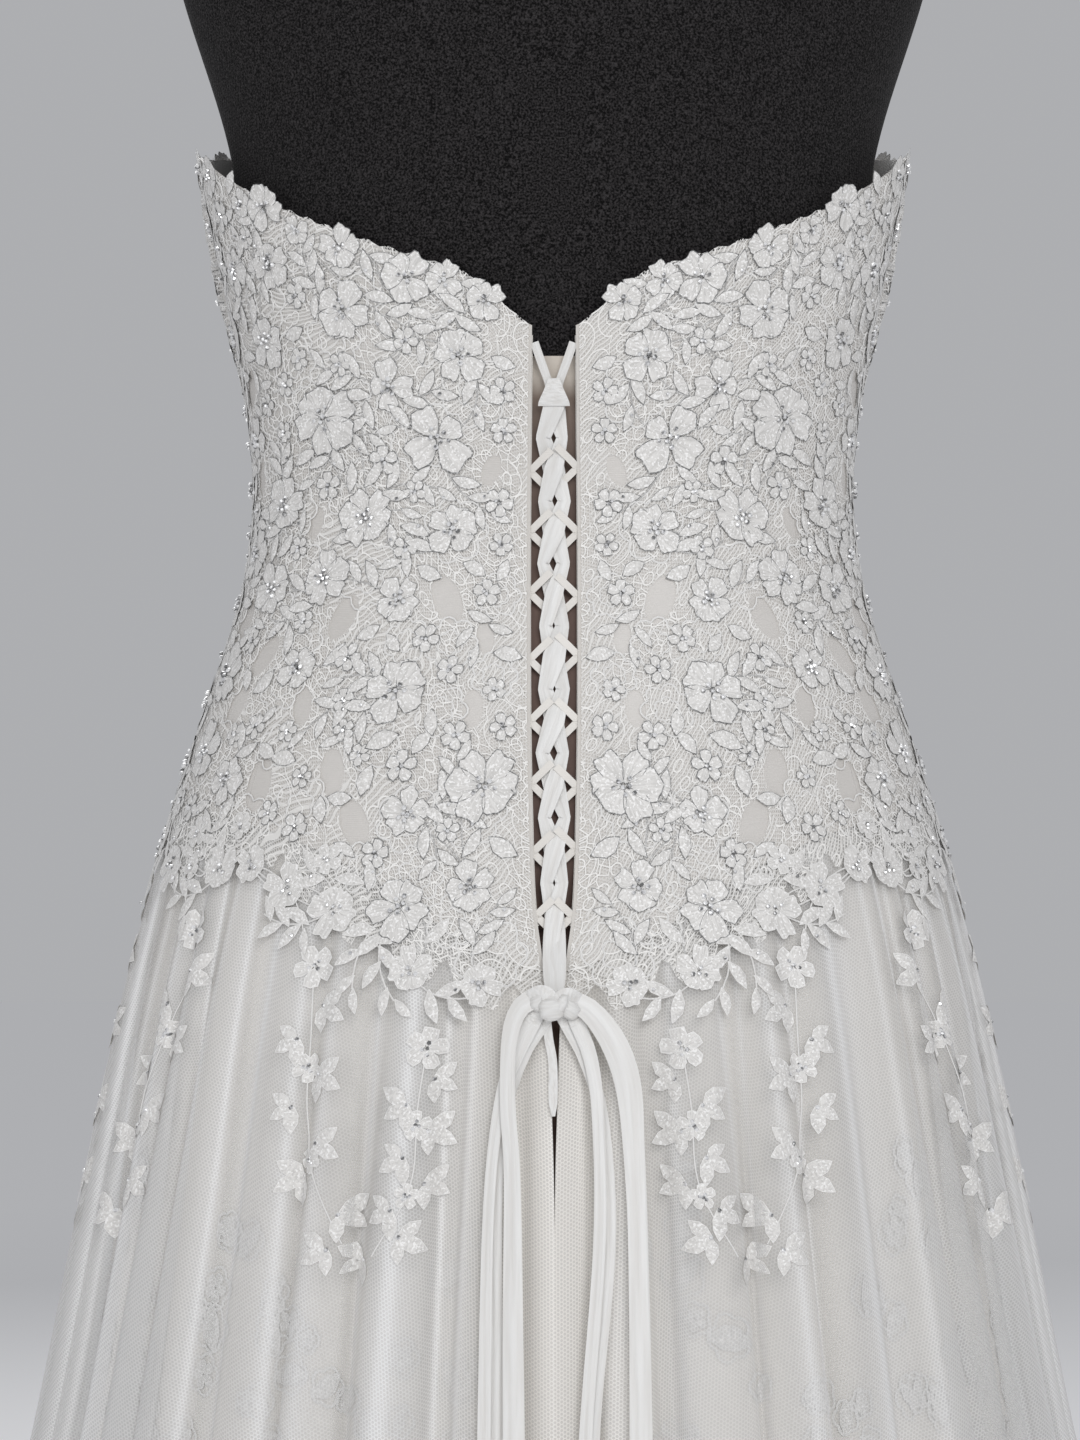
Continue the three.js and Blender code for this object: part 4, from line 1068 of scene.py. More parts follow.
flower_lots = [(big_motifs[i], big_flowers[i::kinds], big_spins[i::kinds]) for i in range(kinds)]
flower_lots.append((small_motif, small_flowers, small_spins))
leaf_lots = [(long_leaf, branch_leaves, branch_leaves[:, 3]), (round_leaf, fill_leaves, fill_leaves[:, 3])]
INNER_RING, OUTER_RING = (6, 0.5), (7, 1.0)  # scallops, share of the radius
for side, word in SIDES:
    bundles = [sewn(*lot, FLOWER_OUT, 1.0, side, cord_for(lot[1])) for lot in flower_lots]
    bundles.append(sewn(neck_motif, neck_flowers, neck_spins, FLOWER_OUT, 1.0, side))
    bundles.append(sewn(hem_motif, hem_flowers, hem_spins, FLOWER_OUT, 1.0, side, WHITE_CORD))
    settle(joined(f"lace_flowers_{word}", bundles), lace_work, "ivory_lace")
    stem_cording = STEM_CORDING * cord_for(stem_lines[:, -1])
    inner, outer = ring_lines(ring_spots, *INNER_RING), ring_lines(ring_spots, *OUTER_RING)
    bundles = [sewn(*lot, LEAF_OUT, 1.0, side, cord_for(lot[1])) for lot in leaf_lots]
    bundles.append(corded(stem_lines, *STEM_CORD, STEM_OUT, side, stem_cording))
    bundles.append(corded(inner, *STEM_CORD, STEM_OUT, side, WHITE_CORD))
    bundles.append(corded(outer, *RING_CORD, STEM_OUT, side, WHITE_CORD))
    settle(joined(f"lace_leaves_{word}", bundles), lace_work, "ivory_lace")

# The beads are small faceted crystals, clear and silver. They are sewn through the net, in clusters at the
# flower centres and singly along the leaves.
bead_random = np.random.default_rng(SEED + 1)
BEAD_OUT, BEAD_SPIRAL, BEAD_START = 1.0, 2.4, 0.15
FULL_SPIN = 6  # about a full turn, in radians


def bead_spots(spots, count, spread, radii):
    """Beads in a spiral round each spot: turn, height, radius."""
    rows, order = np.repeat(spots[:, :3], count, axis=0), np.arange(count)
    spin = np.repeat(bead_random.uniform(0, FULL_SPIN, len(spots)), count)
    angle = np.tile(order * BEAD_SPIRAL, len(spots)) + spin
    away = rows[:, 2] * spread * np.tile(np.sqrt((order + BEAD_START) / count), len(spots))
    step = turn_per_mm(rows[:, 0], rows[:, 1])
    size = bead_random.uniform(*radii, len(rows))
    return np.stack([rows[:, 0] + away * np.cos(angle) * step, rows[:, 1] + away * np.sin(angle), size], -1)


bm = new_motif()
bmesh.ops.create_icosphere(bm, subdivisions=1, radius=1)
bead = motif_arrays(bm)
crystal, crystal_surface = new_finish("silver_crystal", (0.86, 0.87, 0.89), 0.12, Metallic=0.45)
# The beads differ in tone at random, and their darkest greys are painted reflections, standing for the dark
# cores that the crystals show.
CRYSTAL_TONES_AND_REFLECTIONS = ((0.36, (0.22, 0.22, 0.22)), (0.46, (0.7, 0.7, 0.71)), (0.56, (1, 1, 1)))
crystal_tone_and_painted_reflection = color_ramp(crystal, noise(crystal, object_at(crystal), 520, 1), *CRYSTAL_TONES_AND_REFLECTIONS)
feed(crystal, crystal_surface, "Base Color", crystal_tone_and_painted_reflection)
LEAVES_PER_BEAD = 4
CENTRE_BEADS = (4, 0.3, (0.8, 1.1))  # beads at a flower's centre, their spread as its share, and their radii
bead_lots = [
    bead_spots(big_flowers, 7, 0.3, (0.9, 1.3)),
    bead_spots(small_flowers, 2, 0.25, (0.7, 1.1)),
    bead_spots(neck_flowers, *CENTRE_BEADS),
    bead_spots(hem_flowers, *CENTRE_BEADS),
    bead_spots(branch_leaves[::LEAVES_PER_BEAD], 1, 0.9, (0.7, 0.9)),
]


def add_beads(name, rows, out, side):
    beads = joined(name, [sewn(bead, rows, np.zeros(len(rows)), out, 1.0, side)])
    beads.data.polygons.foreach_set("use_smooth", np.zeros(len(beads.data.polygons), bool))
    settle(beads, crystal, "ivory_lace")


for side, word in SIDES:
    add_beads(f"lace_beads_{word}", np.concatenate(bead_lots), FLOWER_OUT + BEAD_OUT, side)

# The underskirt is three flared breadths of ivory satin, seamed at the sides and at the centre back.
# A border of flat lace motifs is sewn round it and shows faintly through the tulle.
GATHER_DEPTH = [  # height, depth of the valleys of the tulle
    (10, 30),
    (300, 25),
    (653, 19),
    (757, 14),
    (850, 6),
    (905, 2),
    (930, 1.4),
]
HEM_Z = 10
SKIRT_DROP, SKIRT_PASSES = 0.3, 3
TULLE_WALL, INNER_EASE = 1.2, 1.15
SKIRT_PIECES = [  # word, first turn, last turn, side
    ("back_left", 0, 90, 1),
    ("back_right", 0, 90, -1),
    ("front", 90, 270, 1),
]


def gather_depth(z):
    return smooth_between(GATHER_DEPTH, z)[..., 0]


def skirt_turns(u, v, first, last):
    """Turns and heights of a skirt's points; the back breadths start at the opening."""
    turn = np.radians(first + (last - first) * u)
    for _ in range(SKIRT_PASSES):
        z = HEM_Z + (seam_z(turn) - SKIRT_DROP - HEM_Z) * v
        start = opening_turn(z) if first == 0 else math.radians(first)
        turn = start + (math.radians(last) - start) * u
    return turn, z


def underskirt_out(z):
    return -(gather_depth(z) * INNER_EASE + TULLE_WALL + SKIRT_DROP)


QUARTER = 90
UNDERSKIRT_COLUMNS, UNDERSKIRT_ROWS = 48, 60  # columns in a quarter of the way round
UNDERSKIRT_SHARE = 0.64


def add_underskirt(word, first, last, side):
    def place(u, v):
        turn, z = skirt_turns(u, v, first, last)
        return cloth_points(side * turn, z, underskirt_out(z))

    columns = UNDERSKIRT_COLUMNS * (last - first) // QUARTER
    skirt, uv = grid_piece(f"underskirt_satin_{word}", columns, UNDERSKIRT_ROWS, place, flipped=side > 0)
    settle(skirt, satin, "ivory_satin", f"underskirt_{word}")
    declare_cut(skirt, uv, UNDERSKIRT_SHARE, 3, held="hung")


for breadth in SKIRT_PIECES:
    add_underskirt(*breadth)

border_random = np.random.default_rng(SEED + 3)
BORDER_COUNT, BORDER_OUT, BORDER_RELIEF = 330, 0.6, 0.5
BORDER_TURNS, BORDER_HEIGHTS, BORDER_RADII = (0.06, math.pi - 0.02), (600, 800), (4, 8)
BORDER_WAVE = {"middle": 690, "swing": 45, "waves": 11, "half": 60}  # the band in which motifs are kept
BORDER_RING, BORDER_CORD = (5, 1.2), (1.2, 0.4)  # scallops and share of the radius; width and height
border_motifs = (small_motif, long_leaf, round_leaf)


def border_out(turns, heights):
    return underskirt_out(heights) + BORDER_OUT


for side, word in SIDES:
    spreads = (BORDER_TURNS, BORDER_HEIGHTS, BORDER_RADII)
    rows = np.stack([border_random.uniform(*spread, BORDER_COUNT) for spread in spreads], -1)
    wave = BORDER_WAVE["middle"] + BORDER_WAVE["swing"] * np.sin(rows[:, 0] * BORDER_WAVE["waves"] + side)
    rows = rows[np.abs(rows[:, 1] - wave) < BORDER_WAVE["half"]]
    spins = border_random.uniform(0, FULL_SPIN, len(rows))
    bundles = []
    for i, motif in enumerate(border_motifs):
        spots, lot_spins = rows[i :: len(border_motifs)], spins[i :: len(border_motifs)]
        bundles.append(sewn(motif, spots, lot_spins, border_out, BORDER_RELIEF, side, WHITE_CORD))
    rings = ring_lines(rows, *BORDER_RING)
    bundles.append(corded(rings, *BORDER_CORD, border_out, side, WHITE_CORD))
    settle(joined(f"underskirt_lace_{word}", bundles), lace_work, "ivory_lace")

# The skirt is fine hexagonal tulle in three breadths, gathered into the waist seam so that it falls in soft
# overlapping folds. The net looks denser along the edge of each fold.
GATHERS = 44
GATHER_DRIFT = [(0.25, 6), (0.14, 14)]  # gathers by which they stray, and waves of that round the seam
VALLEY = {"share": 0.72, "vary": 0.28, "first": 2.3, "second": 0.9}
FOLD = {"calm": 0.5, "deepest": 1.05, "ripple": 0.1, "ripples": 3, "ripple shift": 1.7}
SLIDE = {"share": 0.55, "skew": 0.5, "edge": 3, "lean": 0.75, "vary": 0.3, "rate": 4.1, "shift": 1}
BANDS = {"per gather": 1.9, "stray": 0.35, "rate": 2.1, "rise": 0.002}
VEIL = {"thin": 0.49, "slope": 0.3, "edge": 0.26, "edge half": 0.09, "centre": 0.25}
PATCHES = {"least": 0.9, "vary": 0.2, "rate": 1.3, "swirl": 4, "swirl rate": 0.7}
CENTRE_PAINTED_LIGHT_FADE = {"From_Min": 0.012, "From_Max": 0.05}  # metres from the centre back over which the cream and painted light turn to the plain white tone
TULLE_PITCH, TULLE_THREAD, TULLE_HOLES = 0.0015, 0.26, 0.72
tulle, tulle_surface = new_finish("ivory_tulle", (0.93, 0.925, 0.915), 0.8, Sheen_Weight=0.15)
tulle_x = add_node(tulle, "ShaderNodeSeparateXYZ", ("Vector", object_at(tulle))).outputs["X"]
tulle_away = math_node(tulle, "ABSOLUTE", tulle_x, 0.0)
painted_light_falloff = add_node(tulle, "ShaderNodeMapRange", ("Value", tulle_away), **CENTRE_PAINTED_LIGHT_FADE)
# The tulle near the centre back is cream and lighter: partly the cream satin seen through it, partly painted
# light that lifts the shade under the bow.
tulle_tone_with_painted_light = mixed(tulle, painted_light_falloff.outputs["Result"], (0.94, 0.915, 0.875), (0.845, 0.842, 0.836))
feed(tulle, tulle_surface, "Base Color", tulle_tone_with_painted_light)
tulle_mesh = hex_net(tulle, cloth_at(tulle), TULLE_PITCH, TULLE_THREAD)
veil = add_node(tulle, "ShaderNodeAttribute", attribute_name="veil").outputs["Fac"]
tulle_threads = color_ramp(tulle, tulle_mesh, (0.0, (TULLE_HOLES,)), (1.0, (1,)))
feed(tulle, tulle_surface, "Alpha", math_node(tulle, "MULTIPLY", veil, tulle_threads))


def tulle_phase(turn):
    """How many gathers lie between a point and the centre back."""
    phase = np.degrees(turn) / 360 * GATHERS
    for stray, count in GATHER_DRIFT:
        phase = phase + stray * np.sin(count * turn)
    return np.minimum(phase, GATHERS - phase)


def valley_share(gather):
    vary = np.sin(gather * VALLEY["first"]) * np.cos(gather * VALLEY["second"])
    return VALLEY["share"] + VALLEY["vary"] * vary


def tulle_points(turn, z, edge, side):
    """Points of the gathered net, whose folds lean over; edge is how far a point is from its seams."""
    phase = tulle_phase(turn)
    gather, swing = np.floor(phase), 2 * math.pi * phase
    depth = gather_depth(z) * valley_share(gather) * (1 - FOLD["calm"] * np.exp(-(phase**2)))
    ripple = 1 + FOLD["ripple"] * np.sin(FOLD["ripples"] * swing + gather * FOLD["ripple shift"])
    out = -depth * np.clip((0.5 - 0.5 * np.cos(swing)) * ripple, 0, FOLD["deepest"])
    lean = SLIDE["lean"] + SLIDE["vary"] * np.sin(gather * SLIDE["rate"] + SLIDE["shift"])
    swayed = np.sin(swing + SLIDE["skew"] * np.sin(swing)) * np.clip(edge / SLIDE["edge"], 0, 1)
    slide = SLIDE["share"] * depth * lean * swayed * np.where(turn > math.pi, -1, 1)
    return cloth_points(side * (turn + slide * turn_per_mm(turn, z)), z, out)


def veil_share(turn, z, side):
    """How thickly the net lies: the folds have one bright edge and thin out away from it."""
    phase = tulle_phase(turn)
    stray = np.sin(phase * BANDS["rate"] + z * BANDS["rise"] + side)
    band = phase * BANDS["per gather"] + BANDS["stray"] * stray
    from_edge = np.abs(band - np.round(band))
    fold = VEIL["slope"] * (1 - 2 * from_edge) ** 2
    fold = fold + VEIL["edge"] * np.exp(-((from_edge / VEIL["edge half"]) ** 2))
    swirl = PATCHES["swirl"] * np.sin(band * PATCHES["swirl rate"])
    patches = PATCHES["least"] + PATCHES["vary"] * np.sin(band * PATCHES["rate"] + swirl + side)
    return (VEIL["thin"] + fold) * patches + VEIL["centre"] * np.exp(-(phase**2))


TULLE_COLUMNS, TULLE_ROWS = 264, 70  # columns in a quarter of the way round
TULLE_SHARE = 0.66


def add_tulle(word, first, last, side):
    def place(u, v):
        turn, z = skirt_turns(u, v, first, last)
        return tulle_points(turn, z, np.minimum(u, 1 - u) * (last - first), side)

    columns = TULLE_COLUMNS * (last - first) // QUARTER
    skirt, uv = grid_piece(f"skirt_tulle_net_{word}", columns, TULLE_ROWS, place, flipped=side > 0)
    store(skirt, "veil", veil_share(*skirt_turns(*uv.T, first, last), side))
    settle(skirt, tulle, "ivory_tulle", f"skirt_tulle_{word}")
    declare_cut(skirt, uv, TULLE_SHARE, 3, held="gathered")
    return skirt.data


tulle_places, tulle_faces = [], []
for breadth in SKIRT_PIECES:
    net = add_tulle(*breadth)
    tulle_faces += [[len(tulle_places) + i for i in face.vertices] for face in net.polygons]
    tulle_places += [vert.co for vert in net.vertices]

# Sprays of small flowers and leaves on corded stems trail from the lace down the tulle. They are cut out of
# the same lace and sewn on by hand, so that they lie on the folds.
SPRAYS = [  # name, turn in degrees, height of the head, length, lean
    ("spray_a", 13, 838, 78, 2),
    ("spray_b", 29, 868, 104, -3),
    ("spray_c", 54, 880, 112, 3),
    ("spray_d", 83, 886, 124, -2),
    ("spray_e", 118, 876, 108, 2),
    ("spray_f", 152, 854, 98, -3),
]
SPRAY_OUT, SPRAY_RELIEF, SPRAY_CORD = 0.5, 0.6, (0.6, 0.3)
SPRAY_STEM = {"points": 25, "lean": 6, "sway": 4, "waves": 7}
SPRAY_FLOWERS = [(0, 10), (9, 7), (17, 6)]  # point of the stem, radius
TUFT = {"every": 3, "aside": 4.5, "drop": 2, "hang": 0.5, "fan": (-1.1, 0, 1.1), "leaves": (3.8, 5.2)}
LOOK_FROM, LOOK_DEPTH = 12, 40
spray_random = np.random.default_rng(SEED + 2)
tulle_tree = BVHTree.FromPolygons(tulle_places, tulle_faces)


def on_tulle(turns, heights):
    """How far out a motif lies where it rests on the folds of the tulle."""
    starts = cloth_points(turns, heights, LOOK_FROM).reshape(-1, 3) * MM
    inner = cloth_points(turns, heights, 0).reshape(-1, 3) * MM
    deep = []
    for start, end in zip(starts, inner):
        hit = tulle_tree.ray_cast(Vector(start), Vector(end - start), LOOK_DEPTH * MM)
        deep.append(LOOK_FROM if hit[0] is None else hit[3] / MM)
    return SPRAY_OUT + LOOK_FROM - np.reshape(deep, np.shape(turns))


def spray_rows(turn, z, length, lean):
    """A wavy stem, tufts of three leaves to its left and right in turn, flowers and beads."""
    middle = math.radians(turn)
    step = float(turn_per_mm(middle, z))
    share = np.linspace(0, 1, SPRAY_STEM["points"])
    sway = SPRAY_STEM["sway"] * share * np.sin(share * SPRAY_STEM["waves"] + turn)
    turns = middle + (lean * SPRAY_STEM["lean"] * share**2 + sway) * step
    heights = z - length * share
    at = np.arange(TUFT["every"], SPRAY_STEM["points"], TUFT["every"])
    hands = np.where(np.arange(len(at)) % 2, 1, -1)
    tuft_turns, tuft_heights = turns[at] + hands * TUFT["aside"] * step, heights[at] - TUFT["drop"]
    tufts = np.stack([tuft_turns, tuft_heights, np.zeros(len(at))], -1)
    leaves = np.repeat(tufts, len(TUFT["fan"]), axis=0)
    outwards = np.where(hands > 0, -TUFT["hang"], math.pi + TUFT["hang"])
    facing = np.repeat(outwards, len(TUFT["fan"])) + np.tile(TUFT["fan"], len(at))
    size = spray_random.uniform(*TUFT["leaves"], len(leaves))
    leaves[:, 0] += np.cos(facing) * size * LEAF_AWAY * step
    leaves[:, 1] += np.sin(facing) * size * LEAF_AWAY
    leaves = np.column_stack([leaves[:, :2], size, facing - math.pi / 2])
    flowers = np.array([(turns[point], heights[point], radius) for point, radius in SPRAY_FLOWERS])
    beads = np.concatenate([bead_spots(flowers, *CENTRE_BEADS), tufts + (0, 0, 1)])
    return np.stack([turns, heights], -1)[None], leaves, flowers, beads


spray_beads = []
for name, *spray in SPRAYS:
    stem, leaves, flowers, beads = spray_rows(*spray)
    spins = spray_random.uniform(0, FULL_SPIN, len(flowers))
    for side, word in SIDES:
        bundles = [
            corded(stem, *SPRAY_CORD, on_tulle, side, WHITE_CORD),
            sewn(small_motif, flowers, spins, on_tulle, SPRAY_RELIEF, side, WHITE_CORD),
            sewn(round_leaf, leaves, leaves[:, 3], on_tulle, SPRAY_RELIEF, side, WHITE_CORD),
        ]
        settle(joined(f"{name}_lace_{word}", bundles), lace_work, "ivory_lace", f"{name}_{word}")
    spray_beads.append(beads)
for side, word in SIDES:
    add_beads(f"spray_beads_{word}", np.concatenate(spray_beads), on_tulle, side)

# The lacing is two flat satin ribbons, threaded through the loops down the back. They cross at each pair of
# loops, each over the other in turn, and lie side by side between them.
KNOT = {"z": 855, "out": 6.5, "tall": 6.5}
RIBBON = {"sway": 4.1, "wide": 8.2, "parted": 5.2}
UNEVEN = (0.82, 1.15)
OVER, FULL_OPENING = 1, 9
COURSE_STEPS = 24  # points of the course between two levels
CROSSING = 0.5  # the share of the pitch above and below a loop in which a ribbon goes across
TOP_INSET = 1
LACING_TOP = [(0, 1, 3.4), (0.35, 0.6, 3.4), (0.7, 0.2, 3.8)]  # levels down, share of the way out, width
LACING_FOOT = [  # how it goes into the knot: sideways, height above the knot, stand-off and width
    (1.4, 16, 0.6, 6.2),
    (1.4, 5, 4, 6),
    (1.6, -1, KNOT["out"], 4),
]
lacing_random = np.random.default_rng(SEED + 5)


def lacing_course(side):
    """Points of one ribbon: sideways, height, stand-off and width. It crosses the other at each loop."""
    sizes = np.array(list(RIBBON.values()))[:, None]
    sways, wides, parted = lacing_random.uniform(*UNEVEN, (len(sizes), LOOP_COUNT)) * sizes
    course, end = [], LOOP_COUNT - 1
    top = float(opening_half(loop_z(0))) - TOP_INSET
    for down, across, width in LACING_TOP:
        course.append((side * top * across, loop_z(down), LACING_OUT, width))
    for step in range(COURSE_STEPS * (end - 1) + 1):
        level = 1 + step / COURSE_STEPS
        loop = round(level)
        swing = (-1) ** (loop + 1) * max(-1, min(1, (level - loop) / CROSSING))
        over = math.cos(math.pi * level) * side
        wide = wides[loop] + (parted[int(level)] - wides[loop]) * abs(swing)
        room = min(1, float(opening_half(loop_z(level))) / FULL_OPENING)
        x = -side * sways[int(level)] * swing * room
        course.append((x, loop_z(level), LACING_OUT + OVER * over, wide))
    hand, knot_top = -side if end % 2 else side, KNOT["z"] + KNOT["tall"]
    for x, above, out, width in LACING_FOOT:
        course.append((hand * x, knot_top + above, out, width))
    return np.array(course, float)


ribbon_satin, ribbon_surface = new_finish("white_ribbon_satin", (0.86, 0.85, 0.825), 0.38, Sheen_Weight=0.1)
CREASES = (2.6, 9, 1)  # across the ribbon and along it
ribbon_uv = cloth_at(ribbon_satin)
ribbon_lengths = add_node(ribbon_satin, "ShaderNodeMapping", ("Vector", ribbon_uv), Scale=CREASES)
ribbon_crease = noise(ribbon_satin, ribbon_lengths.outputs["Vector"], 1.0, 2)
# The ribbon's tone follows the same noise as its crease bump, darker in the hollows: painted shade and sheen
# along the creases.
ribbon_crease_shade_tone = color_ramp(ribbon_satin, ribbon_crease, (0.35, (0.73, 0.715, 0.69)), (0.6, (0.81, 0.805, 0.79)))
feed(ribbon_satin, ribbon_surface, "Base Color", ribbon_crease_shade_tone)
add_bump(ribbon_satin, ribbon_surface, ribbon_crease, 0.3, 0.002)
RIBBON_WALL, RIBBON_COLUMNS, HOLLOW, FLAT_HOLLOW = 0.4, 8, 0.2, 0.1
LACING_ROWS, FOLD_ROWS = 420, 12


def add_ribbon(name, course, rows, hollow, *nodes):
    piece, _ = grid_piece(name, RIBBON_COLUMNS, rows, ribbon_place(course, hollow), flipped=True)
    add_wall(piece, RIBBON_WALL, 0)
    settle(piece, ribbon_satin, "ribbon_satin", *nodes)
    return piece


for side, word in SIDES:
    add_ribbon(f"lacing_ribbon_{word}", lacing_course(side), LACING_ROWS, HOLLOW, f"lacing_{word}")
TOP_FOLD = [  # of the folded ribbon over the first crossing: sideways, height, stand-off and width
    (0, 1102.5, 0.9, 4.6),
    (0, 1098, 1.3, 8),
    (0, 1093, 1.3, 12.4),
    (0, 1091.5, 1, 12.8),
]
add_ribbon("lacing_top_fold", np.array(TOP_FOLD, float), FOLD_ROWS, FLAT_HOLLOW)

# The ribbon ends are tied in a bow at the foot of the lacing. It has a knot, two long loops, two tails and a
# short end, which hang free on the tulle.
BOW_WIDTH, TAIL_WIDTH, BOW_ROWS, BAND_ROWS, PATH_POINTS = 8.4, 5, 120, 24, 60
BOW_ROUTES = {  # sideways from the centre back, height, stand-off from the skirt, width
    "bow_loop_left": [
        (9.4, 857, 7.5, 7.6),
        (12.4, 855.5, 7.5, 7.4),
        (16, 849, 7, 6.8),
        (17.9, 837, 6.3, 5.7),
        (17.9, 817, 5.6, 5.9),
        (16.3, 794, 5.2, 6.2),
        (15.8, 742, 5.2, 7.6),
        (15.2, 650, 5.2, 8.6),
        (16.5, 617, 5, 8.4),
        (21, 608, 4.5, 8),
        (25.5, 617, 3.9, 7),
        (26.6, 650, 3.6, 5.4),
        (26, 742, 3.6, 4.6),
        (24.5, 790, 3.6, 4.2),
        (20, 822, 3.7, 5),
        (14, 838, 4, 6.4),
        (9, 847.5, 4.6, 6.4),
    ],
    "bow_loop_right": [
        (-8.8, 856, 7.5, 8),
        (-14.4, 852.5, 7.5, 8.8),
        (-23, 840.5, 6.8, 10.2),
        (-28.2, 825, 6, 10),
        (-30, 805, 5.4, 8.4),
        (-31.5, 769, 5.2, 7.6),
        (-32, 690, 5.2, 8.6),
        (-31.5, 620, 5.2, 9),
        (-28, 592, 5, 8.6),
        (-21, 585, 4.5, 8),
        (-14, 592, 3.9, 7),
        (-11, 625, 3.6, 6),
        (-11, 690, 3.6, 5),
        (-17, 769, 3.6, 4.6),
        (-16.4, 817, 3.7, 4.8),
        (-13.6, 836, 4, 5.6),
        (-9, 847.5, 4.6, 6),
    ],
    "tail_left": [
        (5.2, 846.6, 3.4, 5),
        (12, 836, 2.6, 5),
        (19, 816, 2, 5),
        (22, 790, 1.9, 4.6),
        (22, 690, 1.9, 5),
        (24, 560, 1.9, 5.2),
        (23, 470, 1.9, 5.2),
    ],
    "tail_right": [
        (-5.2, 846.6, 3.4, 5),
        (-12, 834, 2.6, 5),
        (-18, 814, 2, 5),
        (-21, 769, 1.9, 4.6),
        (-14, 690, 1.9, 5),
        (-17, 560, 1.9, 5.2),
        (-15, 440, 1.9, 5.2),
    ],
}


def hang_from(course):
    """Finds a path along a ribbon's course from its first point; the path is not used."""
    dense = along_course(course, PATH_POINTS)
    path = behind_points(dense[:, 0], dense[:, 1], dense[:, 2]) * MM


for node, route in BOW_ROUTES.items():
    course = np.array(route, float)
    piece = add_ribbon(node + "_ribbon", course, BOW_ROWS, HOLLOW, node)
    hang_from(course)
KNOT_BANDS = {  # how the ribbons come out of the knot: sideways, height, stand-off and width
    "knot_band_left": [(0.5, 856.6, 9.6, 6.4), (4.6, 859.4, 10.2, 7.2), (9.4, 857, 7.5, 7.6)],
    "knot_band_right": [(-0.5, 855.5, 9.6, 6.4), (-4.6, 858.2, 10.2, 7.4), (-8.8, 856, 7.5, 8)],
    "knot_return_left": [(4.8, 855, 5.6, 5.4), (6.8, 851.6, 5.1, 6), (9, 847.5, 4.6, 6.4)],
    "knot_return_right": [(-5.8, 855, 5.6, 5.2), (-7.4, 851.4, 5.1, 5.6), (-9, 847.5, 4.6, 6)],
    "knot_tail_left": [(0.8, 853.6, 4.4, 4.6), (2.8, 850.3, 3.9, 4.8), (5.2, 846.6, 3.4, 5)],
    "knot_tail_right": [(-1.4, 853.4, 4.4, 4.6), (-3.1, 850.2, 3.9, 4.8), (-5.2, 846.6, 3.4, 5)],
}
for name, course in KNOT_BANDS.items():
    add_ribbon(name, np.array(course, float), BAND_ROWS, HOLLOW)
KNOT_FOLDS = [  # middle sideways, up and outwards, half sizes of a fold, and its lean
    (0, 0, -1, 6, 4.5, 5.5, 0),
    (5.2, 1.6, -0.6, 4.6, 3.4, 3.4, 0.42),
    (-5.6, -1.4, 0, 4.4, 3.6, 3.6, -0.6),
    (1.2, -1.4, 2.4, 4.7, 3.4, 4.4, 0.1),
    (-2.6, 0.4, 2, 2.2, 3.2, 4.6, -0.35),
]
KNOT_SQUARENESS = 0.72
KNOT_CREASE = {"depth": 0.05, "up": 7, "across": 4}
ROUND = {"u_segments": 28, "v_segments": 18, "radius": 1, "calc_uvs": True}
bm = bmesh.new()
bm.loops.layers.uv.new("cloth")
for x, up, outwards, half, deep, tall, lean in KNOT_FOLDS:
    fold = bmesh.ops.create_uvsphere(bm, **ROUND)["verts"]
    for vert in fold:
        slant = KNOT_CREASE["up"] * vert.co.z + KNOT_CREASE["across"] * vert.co.x + x
        crease = 1 + KNOT_CREASE["depth"] * math.sin(slant)
        boxed = np.sign(vert.co) * np.abs(vert.co) ** KNOT_SQUARENESS * crease
        vert.co = boxed * (half, deep, tall)
    bmesh.ops.rotate(bm, verts=fold, cent=(0, 0, 0), matrix=Matrix.Rotation(lean, 3, "Y"))
    bmesh.ops.translate(bm, verts=fold, vec=(x, outwards, up))
bmesh.ops.scale(bm, verts=bm.verts, vec=(MM, MM, MM))
knot_middle = behind_points(np.asarray(0.0), np.asarray(float(KNOT["z"])), KNOT["out"]) * MM
bmesh.ops.translate(bm, verts=bm.verts, vec=knot_middle)
for face in bm.faces:
    face.smooth = True
settle(object_from("bow_knot_ribbon", bm), ribbon_satin, "ribbon_satin", "bow_knot")
SHORT_END = [  # of the ribbon end under the knot: sideways, height, stand-off and width
    (3, 849, 4, 3.4),
    (2.2, 842, 2.4, 3.4),
    (0.7, 833, 1.8, 3.4),
    (0.6, 818, 1.6, 3.3),
    (0.4, 813, 1.6, 1.2),
]
short_course = np.array(SHORT_END, float)
short_end = add_ribbon("bow_short_end", short_course, BAND_ROWS, HOLLOW)
hang_from(short_course)

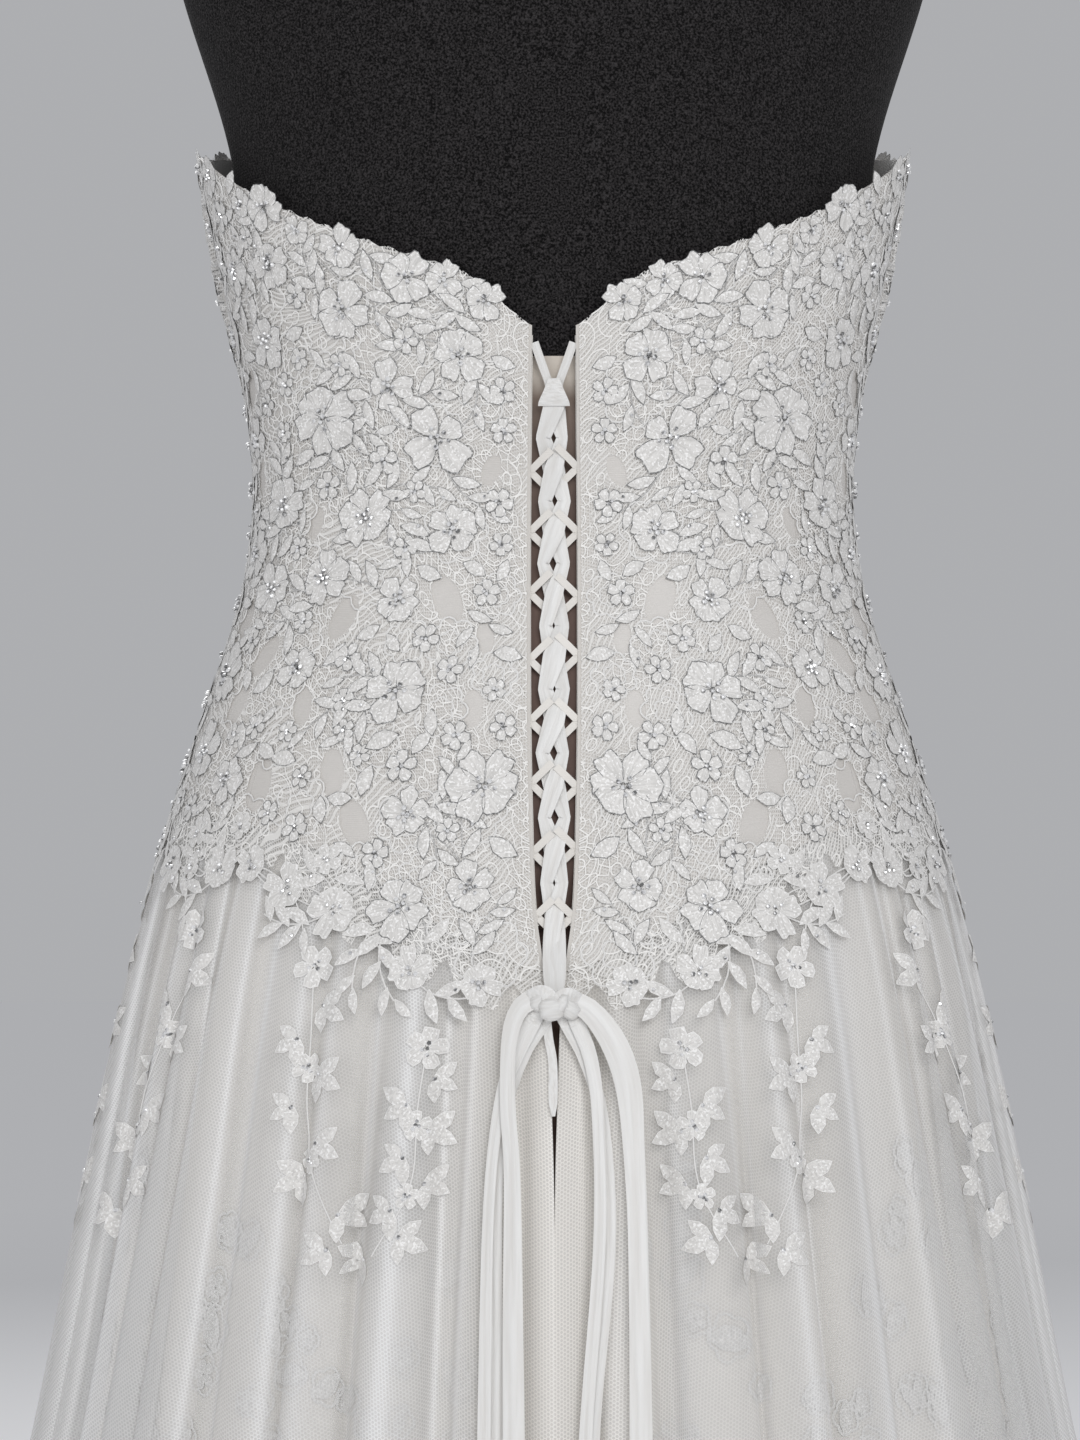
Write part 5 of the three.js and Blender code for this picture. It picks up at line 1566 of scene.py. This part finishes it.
# The dress stands on a plain pale floor in soft studio light. The camera is behind it, a little above the
# waist seam, as in the photograph.
FLOOR_HALF, FLOOR_DROP, FLOOR_FADE = 9, 0.001, 6.0
bm = bmesh.new()
bmesh.ops.create_grid(bm, x_segments=1, y_segments=1, size=FLOOR_HALF)
bmesh.ops.translate(bm, verts=bm.verts, vec=(0, 0, -FLOOR_DROP))
floor = object_from("pale_floor", bm)
floor_paint, floor_surface = new_finish("pale_floor_paint", (0.88, 0.88, 0.89), 0.9, Specular_IOR_Level=0.0)
# The floor is painted lighter with distance from its middle: painted light that fades its far part into the
# backdrop.
floor_away = add_node(floor_paint, "ShaderNodeVectorMath", (0, object_at(floor_paint)), operation="LENGTH")
floor_share = math_node(floor_paint, "DIVIDE", floor_away.outputs["Value"], FLOOR_FADE)
floor_painted_light_tone = color_ramp(floor_paint, floor_share, (0.2, (0.82, 0.82, 0.83)), (0.8, (0.985, 0.985, 0.99)))
feed(floor_paint, floor_surface, "Base Color", floor_painted_light_tone)
floor.data.materials.append(floor_paint)

world = bpy.data.worlds.new("studio")
world.use_nodes = True
world.node_tree.nodes["Background"].inputs["Color"].default_value = (0.42, 0.425, 0.44, 1)
bpy.context.scene.world = world
bpy.context.scene.view_settings.view_transform = "Standard"
LIGHTS = [  # name, place, size, power
    ("key_light", (-0.7, 2.6, 2.2), 1.4, 31),
    ("fill_light", (1.6, 2.4, 1.2), 1.8, 11),
    ("front_light", (0.3, -2.6, 2.4), 2.0, 30),
]
LIGHT_AIM = (0, 0, 0.95)
for name, place, size, power in LIGHTS:
    lamp = bpy.data.lights.new(name, "AREA")
    lamp.size = size
    lamp.energy = power
    light = bpy.data.objects.new(name, lamp)
    light.location = place
    aim = np.array(LIGHT_AIM) - place
    pitch = math.atan2(math.hypot(aim[0], aim[1]), -aim[2])
    light.rotation_euler = (pitch, 0, math.atan2(aim[1], aim[0]) - math.pi / 2)
    bpy.context.collection.objects.link(light)

CAMERA_PLACE = (0.0056, 1.283, 0.965)
PICTURE_HEIGHT, FOCAL_LENGTH = 1440, 3003  # both in picture points
view = bpy.data.cameras.new("camera")
view.sensor_fit = "VERTICAL"
view.angle = 2 * math.atan(PICTURE_HEIGHT / 2 / FOCAL_LENGTH)
camera = bpy.data.objects.new("camera", view)
camera.location = CAMERA_PLACE
camera.rotation_euler = (math.pi / 2, 0, math.pi)
bpy.context.collection.objects.link(camera)
bpy.context.scene.camera = camera
